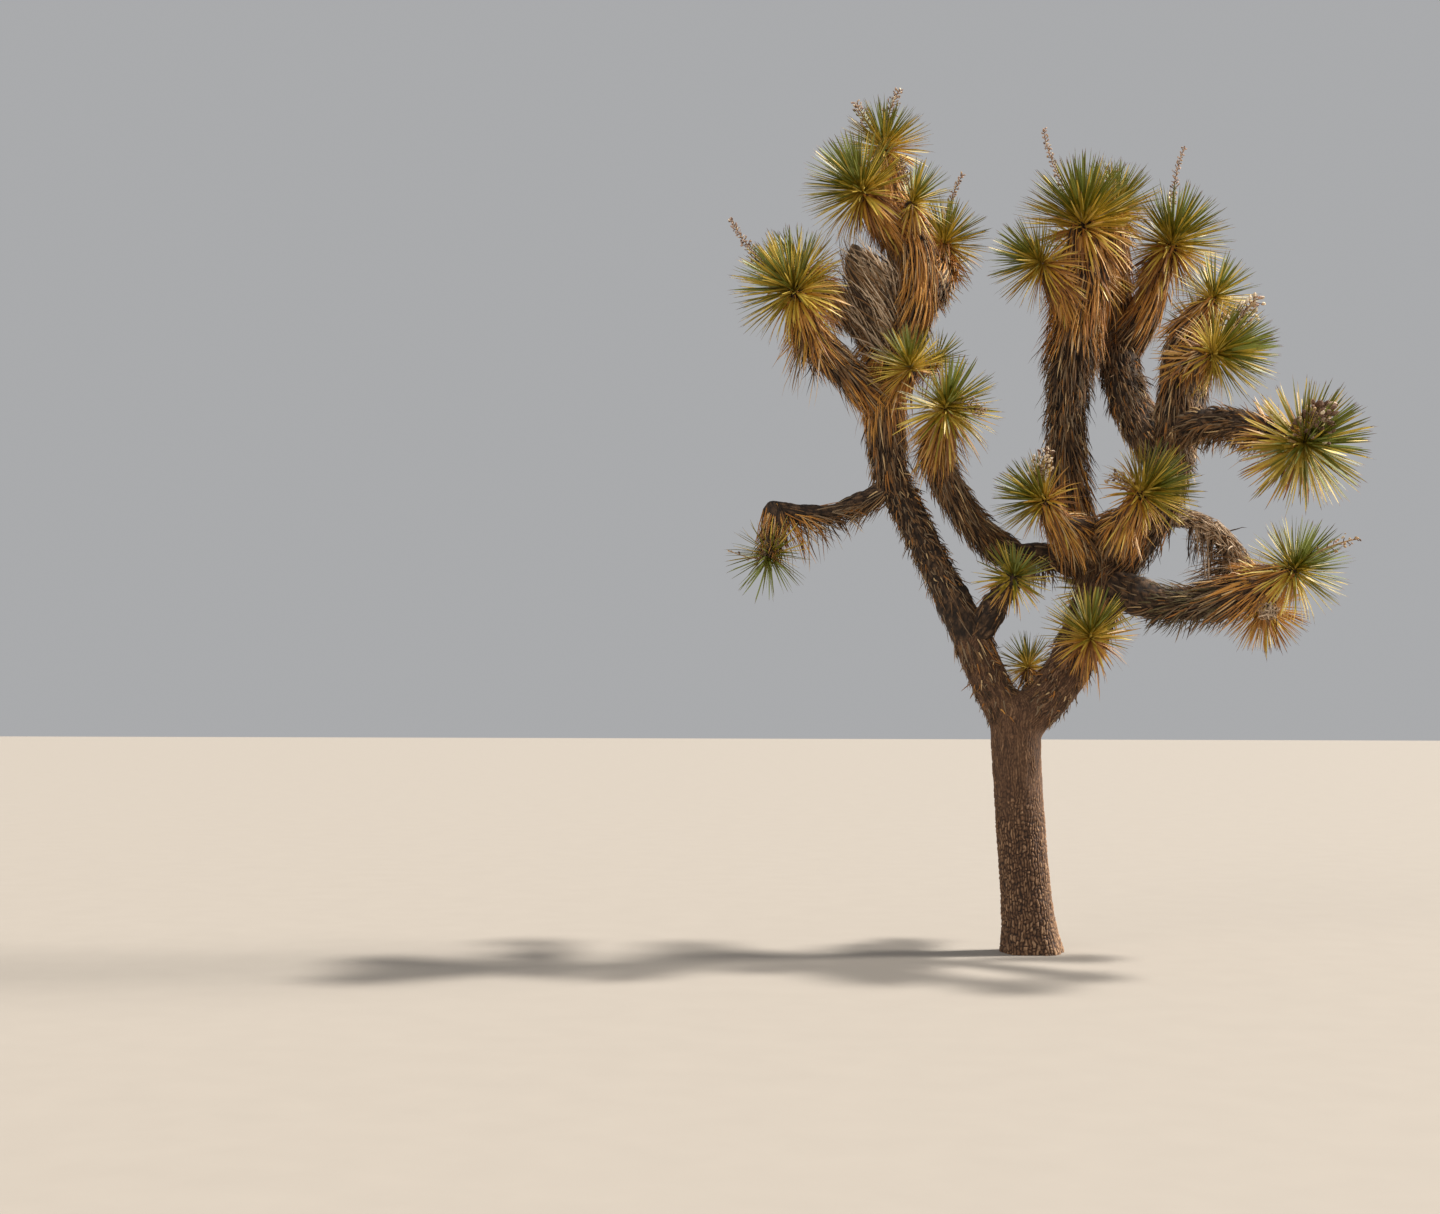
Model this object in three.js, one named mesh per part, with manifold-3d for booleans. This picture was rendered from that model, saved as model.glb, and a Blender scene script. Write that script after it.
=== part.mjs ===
// A whole Joshua tree, rooted in the ground: a trunk that forks low, crooked boughs in a thatch of dead
// leaves, and a rosette of dagger leaves on every tip. Millimetres, +Z up, +X to the viewer's right and
// +Y away from the viewer. The origin is the centre of the flat cut under the trunk, at ground level.
import * as THREE from "three";
import { mergeVertices } from "three/addons/utils/BufferGeometryUtils.js";
import Module from "manifold-3d";

const wasm = await Module();
wasm.setup();

// Clearances between neighbouring pieces
const GAP = 0.9;
const LEAF_GAP = 1.5;

// Trunk: radius of the shaft, what the root flare and the fork add to it, and how fast each fades
const TRUNK_START = [6, 0, -80];
const TRUNK_RADIUS = 137;
const ROOT_FLARE = 42;
const FLARE_HEIGHT = 150;
const FLARE_LOBES = 5;
const LOBE_DEPTH = 0.06;
const FORK_SWELL = 9;
const FORK_SWELL_HEIGHT = 200;
const TRUNK_SIDES = 12;
const TRUNK_ROWS = [0, 0.06, 0.11, 0.17, 0.26, 0.5, 0.75, 1];

// Thatch of dead leaves on the boughs: tiers that flare at their lower edge like a shaggy skirt
const TIER_LENGTH = 290;
const TIER_TUCK = 0.9;
const TIER_FLARE = 1.1;
const TIER_FRINGE = 0.1;
const TIER_BACK = 1.2;
const BOUGH_SIDES = 8;
const BARK_ROWS = 4;
const STEM_SIDES = 6;
const STEM_ROWS = 2;
const DOME_TURNS = [0.9];
const DOME_HEIGHT = 0.85;
const SNAP_REACH = 0.7;

// Dagger leaves of a rosette, fewer and broader than life
const LEAF_WIDTH = 0.15;
const LEAF_THICKNESS = 0.045;
const LEAF_LEAST_TILT = THREE.MathUtils.degToRad(7);
const LEAF_MOST_TILT = THREE.MathUtils.degToRad(132);
const LEAF_ZONE = 0.42;
const LEAF_SUNK = 0.6;
const LEAVES_PER_ROSETTE = 19;
const SMALL_LEAF = 240;
const SMALL_ROSETTE_SHARE = 0.75;
const LENGTH_SPREAD = 0.14;
const SHORTER = [1, 0.85, 0.7];
const BUD_RADIUS = 30;
const TIP_STEM_SHARE = 0.92;
const SIDE_STEM_SHARE = 0.3;
const STEM_TIP_SHARE = 0.2;
const GOLDEN_TURN = Math.PI * (3 - Math.sqrt(5));
const SEED = 7;

// Dried flower stalks: bare below and knobbly with seed pods above
const STALK_RADIUS = 10;
const STALK_SIDES = 4;
const POD_RADIUS = 30;
const POD_ROWS = 3;
const POD_START = 0.42;

const COLOURS = { bark: 0x6f5a48, thatch: 0x8a6540, grey: 0x857868, leaf: 0x8a8f3e, dry: 0xa8813f };

// Limbs in the order they grow. on and at: the limb that bears it and how far along that limb it starts.
// tip: where it ends, across, back and up from the foot of the trunk. bow: how far its middle stands off
// the straight line. radius: at its start and its tip, with the thatch. snapped: square to this line it is
// broken off through its tip.
const LIMBS = {
  trunk: { tip: [-86, 0, 1320], bow: [-13, 0, 0] },
  left_bough: { on: "trunk", at: 0.93, tip: [-325, -80, 1750], bow: [-20, 0, 10], radius: [116, 104] },
  right_bough: { on: "trunk", at: 0.93, tip: [400, 60, 2115], bow: [78, -10, -62], radius: [122, 130] },
  left_stem: { on: "left_bough", at: 0.96, tip: [-748, -300, 2617], bow: [-5, 0, 5], radius: [100, 108] },
  left_column: { on: "left_stem", tip: [-758, -280, 3330], bow: [-25, -30, 0], radius: [108, 110] },
  left_low_arm: { on: "left_stem", at: 0.95, tip: [-1373, -540, 2426], bow: [-20, 0, -95], radius: [68, 46] },
  left_low_tip: { on: "left_low_arm", tip: [-1352, -592, 2270], bow: [16, 0, 0], radius: [62, 80] },
  left_mid_arm: { on: "left_column", at: 0.56, tip: [-1155, -620, 3350], bow: [0, 0, -35], radius: [78, 92] },
  left_high_arm: { on: "left_column", at: 0.93, tip: [-1146, -40, 3700], bow: [0, 20, 35], radius: [92, 76] },
  dead_stub: {
    on: "left_column", at: 0.88, tip: [-842, -400, 3795], bow: [-12, -20, 0], radius: [100, 150],
    snapped: [10, 0, 18],
  },
  top_left_stem: { on: "left_column", tip: [-665, -210, 3960], bow: [100, -20, 0], radius: [120, 140] },
  top_left_side: {
    on: "top_left_stem", at: 0.42, tip: [-480, 230, 3880],
    bow: [30, 20, -30], radius: [90, 74],
  },
  inner_stem: { on: "left_bough", at: 0.95, tip: [-165, -190, 1945], bow: [8, 0, 0], radius: [84, 76] },
  inner_arm: { on: "right_bough", at: 0.96, tip: [-89, 100, 2189], bow: [0, 0, 45], radius: [88, 80] },
  inner_riser: { on: "inner_arm", tip: [-491, -450, 2700], bow: [-50, 0, -45], radius: [90, 98] },
  centre_stem: { on: "inner_arm", at: 0.22, tip: [345, 105, 3800], bow: [-108, 38, 0], radius: [88, 156] },
  right_stem: { on: "right_bough", at: 0.96, tip: [791, 0, 2729], bow: [80, 0, -40], radius: [136, 106] },
  right_riser: { on: "right_stem", at: 0.9, tip: [510, 420, 3380], bow: [-62, 0, 0], radius: [124, 126] },
  right_top_stem: { on: "right_riser", tip: [735, 390, 3825], bow: [42, -10, -18], radius: [115, 84] },
  centre_back_stem: {
    on: "right_riser", at: 0.92, tip: [500, 540, 4070],
    bow: [-10, 60, 0], radius: [112, 92],
  },
  right_column: { on: "right_stem", tip: [858, -150, 3392], bow: [-25, -20, 0], radius: [106, 102] },
  right_arm: { on: "right_column", at: 0.2, tip: [1235, -610, 2760], bow: [0, 20, 50], radius: [90, 92] },
  right_low_arm: {
    on: "right_bough", at: 0.93, tip: [1195, -400, 2005],
    bow: [10, 0, -125], radius: [108, 96],
  },
  dead_arch_rise: { on: "right_stem", at: 0.55, tip: [992, 140, 2346], bow: [0, 0, 20], radius: [50, 46] },
  dead_arch_fall: { on: "dead_arch_rise", tip: [1214, 200, 2036], bow: [12, 0, 16], radius: [48, 66] },
  front_left_shoot: { on: "right_bough", tip: [175, -270, 2325], bow: [53, 5, 45], radius: [96, 84] },
  front_right_shoot: { on: "right_bough", tip: [520, -330, 2345], bow: [-55, 25, 45], radius: [98, 86] },
  back_left_stem: {
    on: "left_column", at: 0.72, tip: [-609, 800, 3852],
    bow: [0, 60, -90], radius: [96, 84],
  },
  back_centre_stem: {
    on: "centre_stem", at: 0.5, tip: [336, 850, 3965],
    bow: [0, 60, -90], radius: [96, 84],
  },
  back_right_stem: {
    on: "right_stem", at: 0.93, tip: [968, 650, 3407],
    bow: [20, 60, -80], radius: [96, 84],
  },
  back_low_arm: { on: "right_bough", at: 0.9, tip: [405, 650, 1965], bow: [0, 0, -60], radius: [92, 82] },
};
const BARE_LIMBS = ["trunk", "left_bough", "right_bough"];
const DEAD_LIMBS = ["dead_stub", "dead_arch_rise", "dead_arch_fall"];

// Rosettes, on a limb's tip unless at is given. crown: the growing tip, where the leaves meet. facing: the
// way that tip points. leaf: the length of a leaf.
const ROSETTES = {
  far_left: { on: "left_mid_arm", crown: [-1250, -740, 3588], facing: [-5, -5, 6], leaf: 335 },
  far_left_back: { on: "left_high_arm", crown: [-1290, 30, 3843], facing: [-6, 2, 7], leaf: 280 },
  low_left: { on: "left_low_tip", crown: [-1376, -650, 2134], facing: [-2, -6, -8], leaf: 240 },
  inner_left: { on: "inner_riser", crown: [-425, -600, 2963], facing: [2, -6, 8], leaf: 305 },
  column_front: { on: "left_column", at: 0.72, crown: [-630, -530, 3190], facing: [-2, -4, 8], leaf: 245 },
  column_side: { on: "left_column", at: 0.9, crown: [-487, -230, 3261], facing: [5, -3, 7], leaf: 190 },
  top_left: { on: "top_left_stem", crown: [-794, -20, 4540], facing: [0, -2, 9], leaf: 275 },
  top_left_front: {
    on: "top_left_stem", at: 0.92, crown: [-903, -480, 4180],
    facing: [-4, -4, 7], leaf: 330,
  },
  top_left_inner: { on: "top_left_stem", at: 0.86, crown: [-608, -370, 4128], facing: [3, -4, 8], leaf: 240 },
  top_left_side: { on: "top_left_side", crown: [-469, 350, 4060], facing: [2, 1, 9], leaf: 275 },
  inner: { on: "inner_stem", crown: [-80, -300, 2060], facing: [2, -8, 5], leaf: 235 },
  centre: { on: "centre_stem", crown: [312, 20, 4088], facing: [0, -2, 9], leaf: 388 },
  centre_left: { on: "centre_stem", at: 0.8, crown: [45, -150, 3812], facing: [-8, -3, 5], leaf: 292 },
  centre_back: { on: "centre_back_stem", crown: [505, 600, 4275], facing: [1, 2, 9], leaf: 310 },
  right_top: { on: "right_top_stem", crown: [829, 360, 4027], facing: [3, -2, 9], leaf: 345 },
  front_left: { on: "front_left_shoot", crown: [44, -360, 2473], facing: [-8, -4, 4], leaf: 275 },
  front_right: { on: "front_right_shoot", crown: [628, -430, 2502], facing: [8, -5, 5], leaf: 305 },
  right_upper: { on: "right_column", crown: [1010, -170, 3590], facing: [4, -3, 8], leaf: 255 },
  right_side: { on: "right_column", at: 0.74, crown: [1020, -480, 3215], facing: [9, -3, 2], leaf: 320 },
  low_front: { on: "right_bough", at: 0.62, crown: [318, -350, 1755], facing: [0, -5, 8], leaf: 290 },
  far_right: { on: "right_arm", crown: [1400, -780, 2692], facing: [4, -8, 2], leaf: 345 },
  low_right: { on: "right_low_arm", crown: [1381, -500, 2088], facing: [5, -4, 7], leaf: 290 },
  drooping: { on: "dead_arch_fall", crown: [1292, 180, 1868], facing: [1, -5, -6], leaf: 250 },
  fork: { on: "right_bough", at: 0.12, crown: [-14, 480, 1600], facing: [-1, 4, 8], leaf: 205 },
  back_left: { on: "back_left_stem", crown: [-608, 920, 4030], facing: [0, 4, 8], leaf: 290 },
  back_centre: { on: "back_centre_stem", crown: [365, 980, 4175], facing: [1, 4, 8], leaf: 295 },
  back_right: { on: "back_right_stem", crown: [1028, 800, 3550], facing: [2, 6, 7], leaf: 295 },
  back_low: { on: "back_low_arm", crown: [413, 820, 2060], facing: [0, 8, 5], leaf: 285 },
};

// Dried flower stalks: the rosette that bears each, and where its tip stands from that crown
const STALKS = [
  ["far_left", [-305, -20, 350]],
  ["low_left", [-215, -40, 50]],
  ["inner_left", [190, -60, -60]],
  ["top_left", [85, 20, 290]],
  ["top_left", [-150, -40, 210]],
  ["top_left_inner", [-60, -60, 200]],
  ["top_left_side", [100, 0, 365]],
  ["centre", [-214, 40, 495]],
  ["centre_back", [-20, 0, 200]],
  ["right_top", [60, 0, 500]],
  ["front_left", [60, -40, 250]],
  ["front_right", [-190, -50, 60]],
  ["right_side", [165, 30, 270]],
  ["far_right", [45, -170, 140]],
  ["low_right", [292, -40, 125]],
  ["back_left", [-40, 40, 330]],
];

// Seeded random numbers from 0 to 1
function randomFrom(seed) {
  let state = (seed * 2654435761) >>> 0;
  return () => {
    state = (Math.imul(state ^ (state >>> 15), 2246822519) + 3266489917) >>> 0;
    return (state >>> 8) / 16777216;
  };
}

const vector = (list) => new THREE.Vector3(...list);
const boxesMeet = (a, b) => [0, 1, 2].every((k) => a.min[k] < b.max[k] && b.min[k] < a.max[k]);

// A closed geometry as a manifold solid
function solidOf(geometry) {
  const bare = geometry.clone();
  bare.deleteAttribute("normal");
  bare.deleteAttribute("uv");
  const merged = mergeVertices(bare, 1e-3);
  return new wasm.Manifold(
    new wasm.Mesh({
      numProp: 3,
      vertProperties: merged.attributes.position.array,
      triVerts: new Uint32Array(merged.index.array),
    }),
  );
}

// A manifold solid as a geometry for display
function geometryOf(solid) {
  const mesh = solid.getMesh();
  const geometry = new THREE.BufferGeometry();
  geometry.setAttribute("position", new THREE.BufferAttribute(mesh.vertProperties, 3));
  geometry.setIndex(new THREE.BufferAttribute(mesh.triVerts, 1));
  geometry.computeVertexNormals();
  return geometry;
}

// The largest of the pieces that cutting left
function largestOf(solid) {
  const parts = solid.decompose();
  return parts.reduce((best, part) => (part.volume() > best.volume() ? part : best), parts[0]);
}

// A curve from start to tip whose middle stands off the straight line by bow
function bowedCurve(start, tip, bow) {
  const control = start.clone().lerp(tip, 0.5).addScaledVector(bow, 2);
  return new THREE.QuadraticBezierCurve3(start, control, tip);
}

// Bends a plain cylinder along a curve. Each ring says how far along the curve it lies, how far it is
// pushed on past that place, and its radius at each side.
function bentCylinder(curve, sides, rings) {
  const geometry = new THREE.CylinderGeometry(1, 1, 1, sides, rings.length - 1);
  const position = geometry.attributes.position;
  const fine = 40;
  const frames = curve.computeFrenetFrames(fine, false);
  for (let i = 0; i < position.count; i += 1) {
    const row = Math.round((position.getY(i) + 0.5) * (rings.length - 1));
    const reach = Math.hypot(position.getX(i), position.getZ(i));
    const angle = Math.atan2(position.getZ(i), position.getX(i));
    const side = ((Math.round((angle / (2 * Math.PI)) * sides) % sides) + sides) % sides;
    const ring = rings[row];
    const frame = Math.round(THREE.MathUtils.clamp(ring.share, 0, 1) * fine);
    const point = curve.getPointAt(THREE.MathUtils.clamp(ring.share, 0, 1));
    const radius = ring.radius(side, angle) * (reach > 0.5 ? 1 : 0);
    point.addScaledVector(frames.tangents[frame], ring.push(reach > 0.5 ? side : 1));
    point.addScaledVector(frames.normals[frame], Math.cos(angle) * radius);
    point.addScaledVector(frames.binormals[frame], -Math.sin(angle) * radius);
    position.setXYZ(i, point.x, point.y, point.z);
  }
  return geometry;
}

// Rings of a limb: thatch tiers, or plain rows on bark, and then the rounded end
function limbRings(limb, length, grow) {
  const [first, last] = limb.radius;
  const radiusAt = (share) => first + (last - first) * share + grow;
  const rings = [];
  if (limb.rows) {
    const rows = limb.rows;
    for (let k = 0; k <= rows; k += 1) {
      rings.push({ share: k / rows, push: () => (k ? 0 : -grow), radius: () => radiusAt(k / rows) });
    }
  } else {
    const tiers = Math.max(1, Math.round(length / TIER_LENGTH));
    const back = grow * TIER_BACK;
    rings.push({ share: 0, push: () => -back, radius: () => radiusAt(0) });
    for (let k = 1; k <= tiers; k += 1) {
      const share = (k - 0.45) / tiers;
      const tuck = radiusAt(share) * TIER_TUCK;
      const flare = radiusAt(share);
      rings.push({ share, push: () => -back, radius: () => tuck });
      rings.push({
        share,
        push: (side) => (side % 2 ? 0 : -TIER_FRINGE * flare) - back,
        radius: (side) => flare * (side % 2 ? 1 : TIER_FLARE),
      });
    }
    const past = limb.snapped ? SNAP_REACH * radiusAt(1) : 0;
    rings.push({ share: 1, push: () => past, radius: () => radiusAt(1) });
    if (limb.snapped) return rings;
  }
  for (const turn of DOME_TURNS) {
    rings.push({
      share: 1,
      push: () => radiusAt(1) * DOME_HEIGHT * Math.sin(turn),
      radius: () => radiusAt(1) * Math.cos(turn),
    });
  }
  return rings;
}

// Trunk rings: the root flare with its lobes, the shaft, and the swelling under the fork
function trunkRings(length, grow) {
  const rings = [];
  const radiusAt = (share, angle) => {
    const height = Math.max(0, share * length + TRUNK_START[2]);
    const flare = Math.exp(-height / FLARE_HEIGHT);
    const lobes = 1 + LOBE_DEPTH * flare * Math.cos(FLARE_LOBES * angle);
    const swell = FORK_SWELL * Math.exp((share - 1) * (length / FORK_SWELL_HEIGHT));
    return (TRUNK_RADIUS + ROOT_FLARE * flare + swell) * lobes + grow;
  };
  for (const share of TRUNK_ROWS) {
    rings.push({ share, push: () => 0, radius: (side, angle) => radiusAt(share, angle) });
  }
  for (const turn of DOME_TURNS) {
    const top = (angle) => radiusAt(1, angle);
    rings.push({
      share: 1,
      push: () => top(0) * DOME_HEIGHT * Math.sin(turn),
      radius: (side, angle) => top(angle) * Math.cos(turn),
    });
  }
  return rings;
}

// A limb's solid, larger all round by grow
function limbSolid(limb, grow = 0) {
  const length = limb.curve.getLength();
  const rings = limb.on ? limbRings(limb, length, grow) : trunkRings(length, grow);
  const sides = limb.on ? limb.sides : TRUNK_SIDES;
  const solid = solidOf(bentCylinder(limb.curve, sides, rings));
  if (limb.snapped) {
    const broken = vector(limb.snapped).normalize().negate();
    return solid.trimByPlane(broken.toArray(), broken.dot(vector(limb.tip)) - grow);
  }
  return limb.on ? solid : solid.trimByPlane([0, 0, 1], 0);
}

// Cuts a solid clear of every grown limb whose box meets its own
function clearOf(solid, others) {
  let cut = solid;
  for (const other of others) {
    if (boxesMeet(cut.boundingBox(), other.grown.boundingBox())) {
      cut = cut.subtract(other.grown);
    }
  }
  return largestOf(cut);
}

// Grows a limb or a rosette's stem from the limb that bears it
function growLimb(limb, known, built) {
  const bearer = known.get(limb.on);
  const start = bearer ? bearer.curve.getPointAt(limb.at ?? 1) : vector(TRUNK_START);
  limb.curve = limb.bow
    ? bowedCurve(start, vector(limb.tip), vector(limb.bow))
    : new THREE.QuadraticBezierCurve3(start, limb.control(start), vector(limb.tip));
  limb.grown = limbSolid(limb, GAP);
  limb.solid = clearOf(limbSolid(limb), built);
  known.set(limb.name, limb);
  built.push(limb);
}

// One dagger leaf: a three-sided spike with its flat side up, sunk in the stem at its root
function leafSolid(leaf, extra = 0) {
  const blade = new THREE.ConeGeometry(1, 1, 3);
  blade.translate(0, 0.5, 0);
  blade.rotateY(Math.PI / 3);
  const width = (leaf.length * LEAF_WIDTH) / Math.sqrt(3) + extra;
  blade.scale(width, leaf.length + extra, leaf.length * LEAF_THICKNESS * 0.67 + extra);
  const across = new THREE.Vector3().crossVectors(leaf.direction, leaf.inward).normalize();
  const up = new THREE.Vector3().crossVectors(across, leaf.direction);
  blade.applyMatrix4(new THREE.Matrix4().makeBasis(across, leaf.direction, up).setPosition(leaf.root));
  return solidOf(blade);
}

// The leaves of a rosette by the golden angle, spread evenly from its bud to its skirt
function leavesOf(rosette, count, random) {
  const axis = vector(rosette.facing).normalize();
  const side = new THREE.Vector3(0, 0, 1).cross(axis);
  side.lengthSq() < 0.01 ? side.set(1, 0, 0) : side.normalize();
  const other = new THREE.Vector3().crossVectors(axis, side);
  const leaves = [];
  const first = random() * Math.PI * 2;
  for (let i = 0; i < count; i += 1) {
    const share = (i + 0.5) / count;
    const spread = Math.cos(LEAF_LEAST_TILT) - Math.cos(LEAF_MOST_TILT);
    const tilt = Math.acos(Math.cos(LEAF_LEAST_TILT) - share * spread);
    const turn = first + i * GOLDEN_TURN;
    const outward = side.clone().multiplyScalar(Math.cos(turn)).addScaledVector(other, Math.sin(turn));
    const direction = axis.clone().multiplyScalar(Math.cos(tilt)).addScaledVector(outward, Math.sin(tilt));
    const inward = axis.clone().multiplyScalar(Math.sin(tilt)).addScaledVector(outward, -Math.cos(tilt));
    const length = rosette.leaf * (1 + LENGTH_SPREAD * (random() - 0.5));
    const root = vector(rosette.crown)
      .addScaledVector(axis, -share * LEAF_ZONE * rosette.leaf)
      .addScaledVector(outward, BUD_RADIUS * (1 - LEAF_SUNK) * Math.sin(tilt));
    leaves.push({ root, direction, inward, length, turn });
  }
  return leaves;
}

// Each rosette's space ends half-way to its neighbours, measured in lengths of their own leaves
function inItsSpace(leaf, rosette, all) {
  const tip = leaf.root.clone().addScaledVector(leaf.direction, leaf.length);
  const own = tip.distanceTo(rosette.heart) / rosette.leaf;
  return all.every((one) => one === rosette || tip.distanceTo(one.heart) / one.leaf > own);
}

// True where a solid runs into any of the others
function touches(solid, others) {
  const box = solid.boundingBox();
  return others.some((other) => boxesMeet(box, other.boundingBox()) && solid.intersect(other).volume() > 0);
}

// A dried flower stalk whose pods stand out on alternate sides
function stalkSolid(crown, reach) {
  const start = vector(crown);
  const tip = start.clone().add(vector(reach));
  const bow = new THREE.Vector3(-reach[2], 0, reach[0]).multiplyScalar(0.06);
  const rings = [{ share: 0, push: () => 0, radius: () => STALK_RADIUS }];
  for (let k = 0; k < POD_ROWS; k += 1) {
    const share = POD_START + ((1 - POD_START) * k) / POD_ROWS;
    const pod = POD_RADIUS * (1 - 0.35 * share);
    rings.push({ share, push: () => 0, radius: () => STALK_RADIUS });
    rings.push({
      share: share + (0.45 * (1 - POD_START)) / POD_ROWS,
      push: () => 0,
      radius: (side) => ((side + k) % 2 ? pod : STALK_RADIUS),
    });
  }
  rings.push({ share: 1, push: () => 0, radius: () => STALK_RADIUS * 0.6 });
  return solidOf(bentCylinder(bowedCurve(start, tip, bow), STALK_SIDES, rings));
}

// Limbs
const known = new Map();
const built = [];
const limbs = Object.entries(LIMBS).map(([name, limb]) => ({ name, ...limb }));
for (const limb of limbs) {
  limb.sides = BOUGH_SIDES;
  limb.rows = BARE_LIMBS.includes(limb.name) ? BARK_ROWS : 0;
  growLimb(limb, known, built);
}

// Rosette stems and flower stalks, all made before any leaf so that every leaf can keep clear of them
const rosettes = Object.entries(ROSETTES).map(([key, rosette]) => ({ key, ...rosette }));
rosettes.forEach((rosette, index) => {
  rosette.name = `rosette_${rosette.key}`;
  const axis = vector(rosette.facing).normalize();
  const bearer = known.get(rosette.on);
  const reach = vector(rosette.crown).distanceTo(bearer.curve.getPointAt(rosette.at ?? 1));
  const base = rosette.at ? SIDE_STEM_SHARE * rosette.leaf : TIP_STEM_SHARE * bearer.radius[1];
  rosette.radius = [base, STEM_TIP_SHARE * rosette.leaf];
  rosette.tip = rosette.crown;
  rosette.control = () => vector(rosette.crown).addScaledVector(axis, -0.45 * reach);
  rosette.sides = STEM_SIDES;
  rosette.rows = STEM_ROWS;
  rosette.heart = vector(rosette.crown).addScaledVector(axis, -0.5 * LEAF_ZONE * rosette.leaf);
  rosette.random = randomFrom(SEED + index);
  growLimb(rosette, known, built);
  const stalks = STALKS.filter(([key]) => key === rosette.key)
    .map(([, tip]) => stalkSolid(rosette.crown, tip));
  rosette.body = wasm.Manifold.union([rosette.solid, ...stalks]);
});

// Leaves: one that would leave its rosette's space or touch another piece grows shorter, or not at all
for (const rosette of rosettes) {
  const small = rosette.leaf < SMALL_LEAF ? SMALL_ROSETTE_SHARE : 1;
  const count = Math.round(LEAVES_PER_ROSETTE * small);
  const others = [
    ...limbs.map((limb) => limb.solid),
    ...rosettes.filter((one) => one !== rosette).map((one) => one.body),
  ];
  const kept = leavesOf(rosette, count, rosette.random)
    .flatMap((leaf) => SHORTER.map((share) => ({ ...leaf, length: leaf.length * share })))
    .filter((leaf) => inItsSpace(leaf, rosette, rosettes) && !touches(leafSolid(leaf, LEAF_GAP), others))
    .filter((leaf, index, fitting) => index === 0 || fitting[index - 1].turn !== leaf.turn);
  rosette.body = largestOf(wasm.Manifold.union([rosette.body, ...kept.map((leaf) => leafSolid(leaf))]));
}

// The scene graph: one mesh for each limb and each rosette
const tree = new THREE.Group();
function addMesh(name, solid, colour) {
  const material = new THREE.MeshStandardMaterial({ color: colour, roughness: 0.85, metalness: 0 });
  const mesh = new THREE.Mesh(geometryOf(solid), material);
  mesh.name = name;
  tree.add(mesh);
}
for (const { name, solid } of limbs) {
  const bare = BARE_LIMBS.includes(name) ? COLOURS.bark : COLOURS.thatch;
  addMesh(name, solid, DEAD_LIMBS.includes(name) ? COLOURS.grey : bare);
}
for (const { key, name, body } of rosettes) {
  addMesh(name, body, key === "drooping" ? COLOURS.dry : COLOURS.leaf);
}

export default tree;
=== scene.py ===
import math

import bmesh
import bpy
import numpy as np
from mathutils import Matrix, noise


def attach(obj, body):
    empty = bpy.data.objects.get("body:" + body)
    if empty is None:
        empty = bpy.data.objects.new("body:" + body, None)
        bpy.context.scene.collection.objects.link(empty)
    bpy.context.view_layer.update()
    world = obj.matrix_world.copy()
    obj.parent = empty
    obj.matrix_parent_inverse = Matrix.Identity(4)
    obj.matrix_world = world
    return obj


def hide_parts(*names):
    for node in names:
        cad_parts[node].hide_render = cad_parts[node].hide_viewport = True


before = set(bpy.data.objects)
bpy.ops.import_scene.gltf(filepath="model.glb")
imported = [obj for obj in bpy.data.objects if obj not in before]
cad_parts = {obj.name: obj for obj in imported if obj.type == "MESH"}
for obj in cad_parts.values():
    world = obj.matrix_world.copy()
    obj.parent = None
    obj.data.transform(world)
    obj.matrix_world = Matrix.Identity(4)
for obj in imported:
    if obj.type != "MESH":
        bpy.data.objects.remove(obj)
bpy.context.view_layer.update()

# A Joshua tree: plated bark on the trunk, a thatch of dead leaves on the boughs, and rosettes of dagger
# leaves. The tables are in millimetres and the rest is in metres.
MM = 0.001
SEED = 7
# Blender's vector noise goes by the clock unless it has a seed
noise.seed_set(SEED)

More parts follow.
